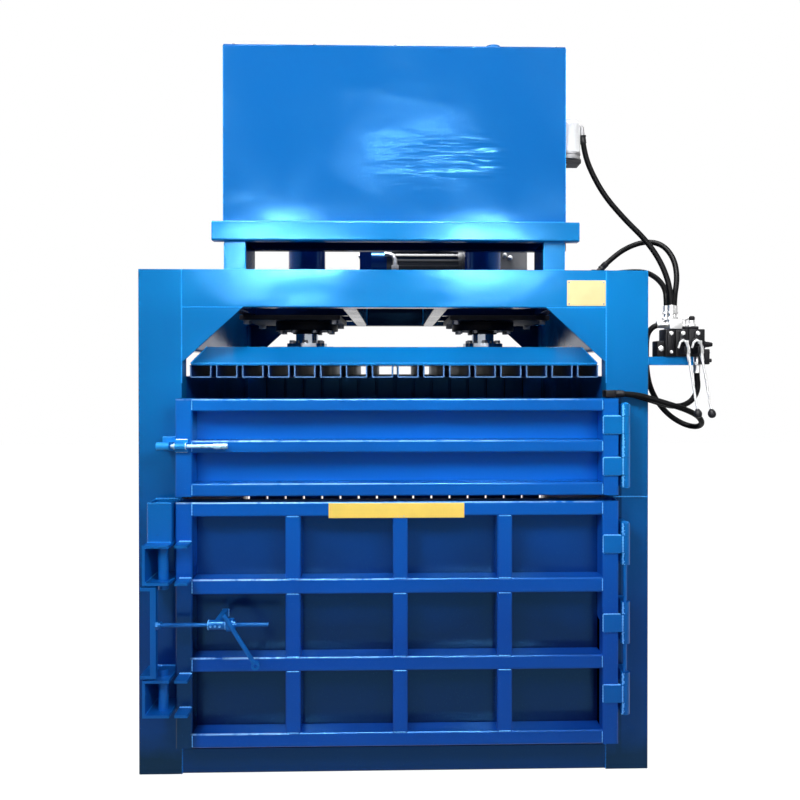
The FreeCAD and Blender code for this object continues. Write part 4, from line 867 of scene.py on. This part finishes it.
bm = bmesh.new()
for body, middles in LEAVES.items():
    for z, way in ((middles[0] - KNUCKLE - 0.0005, DOWN), (middles[-1] + KNUCKLE + 0.0005, UP)):
        turned(bm, [(0, 0.0125), (0.003, 0.0125), (0.005, 0.009), (0.006, 0.003)], (*HINGE, z), way)
mesh_object("hinge_pin_caps", bm, "frame", "fitting_blue", "weld_blue")

# ---- hoses ----------------------------------------------------------------------------
HOSE_D = 0.021
# a hose's crimped end: (along, radius) pairs from its tip
FERRULE = [(0, 0.0118), (0.001, 0.0132), (0.008, 0.0132), (0.009, 0.0122), (0.0125, 0.0133), (0.014, 0.0122),
           (0.0175, 0.0133), (0.019, 0.0122), (0.0225, 0.0133), (0.024, 0.0122), (0.0275, 0.0133),
           (0.031, 0.0128), (0.032, 0.0112)]
DARK_ENDS = ("lift_hose_last", "press_hose_last", "pressure_hose_first", "return_hose_first",
             "filter_hose_first")
ROUTES = {                             # length and route points of each hose, as in the part's source
    "filter_hose": (0.821, [
        (0.735, -0.5, 2.42), (0.742, -0.5, 2.36), (0.766, -0.503, 2.285), (0.819, -0.511, 2.183),
        (0.896, -0.528, 2.086), (0.968, -0.553, 2.005), (1.013, -0.582, 1.925), (1.037, -0.611, 1.842),
        (1.042, -0.632, 1.765), (1.042, -0.632, 1.712)]),
    "pressure_hose": (0.582, [
        (0.822, -0.45, 1.902), (0.862, -0.45, 1.942), (0.922, -0.46, 1.987), (0.992, -0.48, 2.01),
        (1.052, -0.51, 1.993), (1.084, -0.548, 1.93), (1.082, -0.586, 1.85), (1.062, -0.606, 1.772),
        (1.062, -0.606, 1.712)]),
    "return_hose": (0.462, [
        (0.85, -0.35, 1.898), (0.905, -0.35, 1.898), (0.966, -0.378, 1.903), (1.012, -0.438, 1.893),
        (1.034, -0.506, 1.858), (1.042, -0.564, 1.815), (1.0345, -0.602, 1.77), (1.0345, -0.602, 1.712)]),
    "lift_hose": (0.983, [
        (1.03, -0.594, 1.672), (1.002, -0.594, 1.672), (0.977, -0.592, 1.657), (0.9635, -0.588, 1.63),
        (0.963, -0.582, 1.58), (0.966, -0.576, 1.51), (0.98, -0.566, 1.44), (1.016, -0.552, 1.375),
        (1.068, -0.542, 1.32), (1.122, -0.556, 1.286), (1.156, -0.594, 1.28), (1.158, -0.642, 1.297),
        (1.13, -0.682, 1.325), (1.084, -0.703, 1.348), (1.026, -0.706, 1.368), (0.958, -0.697, 1.389),
        (0.885, -0.69, 1.411), (0.812, -0.69, 1.411)]),
    "press_hose": (0.476, [
        (1.15, -0.605, 1.519), (1.15, -0.605, 1.48), (1.155, -0.607, 1.43), (1.134, -0.613, 1.387),
        (1.092, -0.626, 1.364), (1.04, -0.645, 1.362), (0.985, -0.664, 1.376), (0.925, -0.668, 1.395),
        (0.868, -0.666, 1.411), (0.812, -0.666, 1.411)]),
}
for name, (length, route) in ROUTES.items():
    curve = bpy.data.curves.new(name + "_line", "CURVE")
    curve.dimensions = "3D"
    spline = curve.splines.new("NURBS")
    spline.points.add(len(route) - 1)
    for point, place in zip(spline.points, route):
        point.co = (*place, 1.0)
    spline.order_u = 3
    spline.use_endpoint_u = True
    spline.resolution_u = 16
    curve.bevel_depth = HOSE_D / 2
    curve.bevel_resolution = 6
    curve.use_fill_caps = True
    hose = link(bpy.data.objects.new(name + "_line", curve))
    curve.materials.append(paint["hose_rubber"])
    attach(hose, "frame")
    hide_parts(name)
    for tag, end, after in (("_first", route[0], route[1]), ("_last", route[-1], route[-2])):
        way = (Vector(after) - Vector(end)).normalized()
        bm = bmesh.new()
        turned(bm, FERRULE, end, way)
        hexagon(bm, end, way, 0.0255, 0.009)
        slot = "pump_iron" if name + tag in DARK_ENDS else "fitting_steel"
        mesh_object(name + tag, bm, "frame", slot)
    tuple(route[0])

# ---- floor, world and lights ----------------------------------------------------------
WORLD_LIGHT = 0.14        # what the world gives to diffuse surfaces; it is 1 where it is seen
FLOOR_LIGHT = 0.9         # what the floor adds to its own colour where it is seen
FLOOR_REACH = 12          # half its width, m
FLOOR_GREYS = (0.2, 0.2, 0.2), (0.24, 0.24, 0.24)


def seen_rays(tree):
    """1 for rays from the camera, off a reflection or through glass, and 0 for the rest."""
    path = tree.nodes.new("ShaderNodeLightPath")
    seen = path.outputs["Is Camera Ray"]
    for kind in ("Is Glossy Ray", "Is Transmission Ray"):
        either = tree.nodes.new("ShaderNodeMath")
        either.operation = "MAXIMUM"
        tree.links.new(seen, either.inputs[0])
        tree.links.new(path.outputs[kind], either.inputs[1])
        seen = either.outputs[0]
    return seen


world = bpy.data.worlds.new("studio")
bpy.context.scene.world = world
world.use_nodes = True
tree = world.node_tree
background = tree.nodes["Background"]
background.inputs["Color"].default_value = (1, 1, 1, 1)
strength = tree.nodes.new("ShaderNodeMapRange")
strength.inputs["To Min"].default_value = WORLD_LIGHT
strength.inputs["To Max"].default_value = 1.0
tree.links.new(seen_rays(tree), strength.inputs["Value"])
tree.links.new(strength.outputs[0], background.inputs["Strength"])

corners = [(x * FLOOR_REACH, y * FLOOR_REACH, 0) for x, y in ((-1, -1), (1, -1), (1, 1), (-1, 1))]
floor_mesh = bpy.data.meshes.new("floor")
floor_mesh.from_pydata(corners, [], [(0, 1, 2, 3)])
floor = link(bpy.data.objects.new("floor", floor_mesh))
g = Graph("floor")
g.set(Base_Color=g.mix(g.noise(3.0), *FLOOR_GREYS), Roughness=0.8)
g.set(Emission_Color=(1.0, 1.0, 1.0), Emission_Strength=g.product(seen_rays(g.tree), FLOOR_LIGHT))
floor_mesh.materials.append(g.mat)


def softbox(name, place, target, size, power, spread=180.0, gloss_only=False):
    """A rectangular lamp aimed at a target; one that is gloss_only shows in reflections alone."""
    lamp = bpy.data.lights.new(name, "AREA")
    lamp.shape = "RECTANGLE"
    lamp.size, lamp.size_y = size
    lamp.energy = power
    lamp.spread = math.radians(spread)
    obj = link(bpy.data.objects.new(name, lamp))
    obj.visible_diffuse = not gloss_only
    obj.location = place
    obj.rotation_euler = (Vector(target) - Vector(place)).to_track_quat("-Z", "Y").to_euler()


softbox("key", (-2.3, -3.9, 4.3), (0, -0.6, 2.05), (1.6, 1.4), 34, 70)
softbox("fill", (2.5, -4.0, 3.9), (0, -0.6, 2.05), (1.6, 1.4), 21, 70)
softbox("front", (0.6, -4.6, 5.4), (0, -0.6, 1.2), (3.0, 1.6), 28)
softbox("top", (0, 0.6, 5.8), (0, 0, 1.5), (3.0, 2.4), 60)
softbox("rear", (1.5, 4.8, 4.6), (0, 0.6, 1.4), (3.0, 2.4), 160)
softbox("window", (0, -5.2, 2.75), (0, -0.6, 2.2), (3.2, 0.5), 10)
# lit strips that show as reflections only, like the windows of the works
softbox("rim", (-0.3, -2.7, 5.9), (-0.3, -0.7, 1.0), (3.0, 0.1), 1400, gloss_only=True)
softbox("strip_left", (-1.0, -5.15, 2.53), (-1.0, 0, 2.53), (0.9, 0.08), 120, gloss_only=True)
softbox("strip_right", (0.86, -5.15, 2.53), (0.86, 0, 2.53), (0.7, 0.08), 90, gloss_only=True)
softbox("bar_left", (-1.21, -5.15, 2.74), (-1.21, 0, 2.74), (0.75, 0.08), 15, gloss_only=True)
softbox("bar_right", (0.67, -5.15, 2.74), (0.67, 0, 2.74), (0.5, 0.08), 11, gloss_only=True)
softbox("glint", (0.1, -5.15, 3.65), (0.1, -0.65, 2.3), (0.7, 0.1), 30, gloss_only=True)
bpy.context.scene.view_settings.view_transform = "Standard"
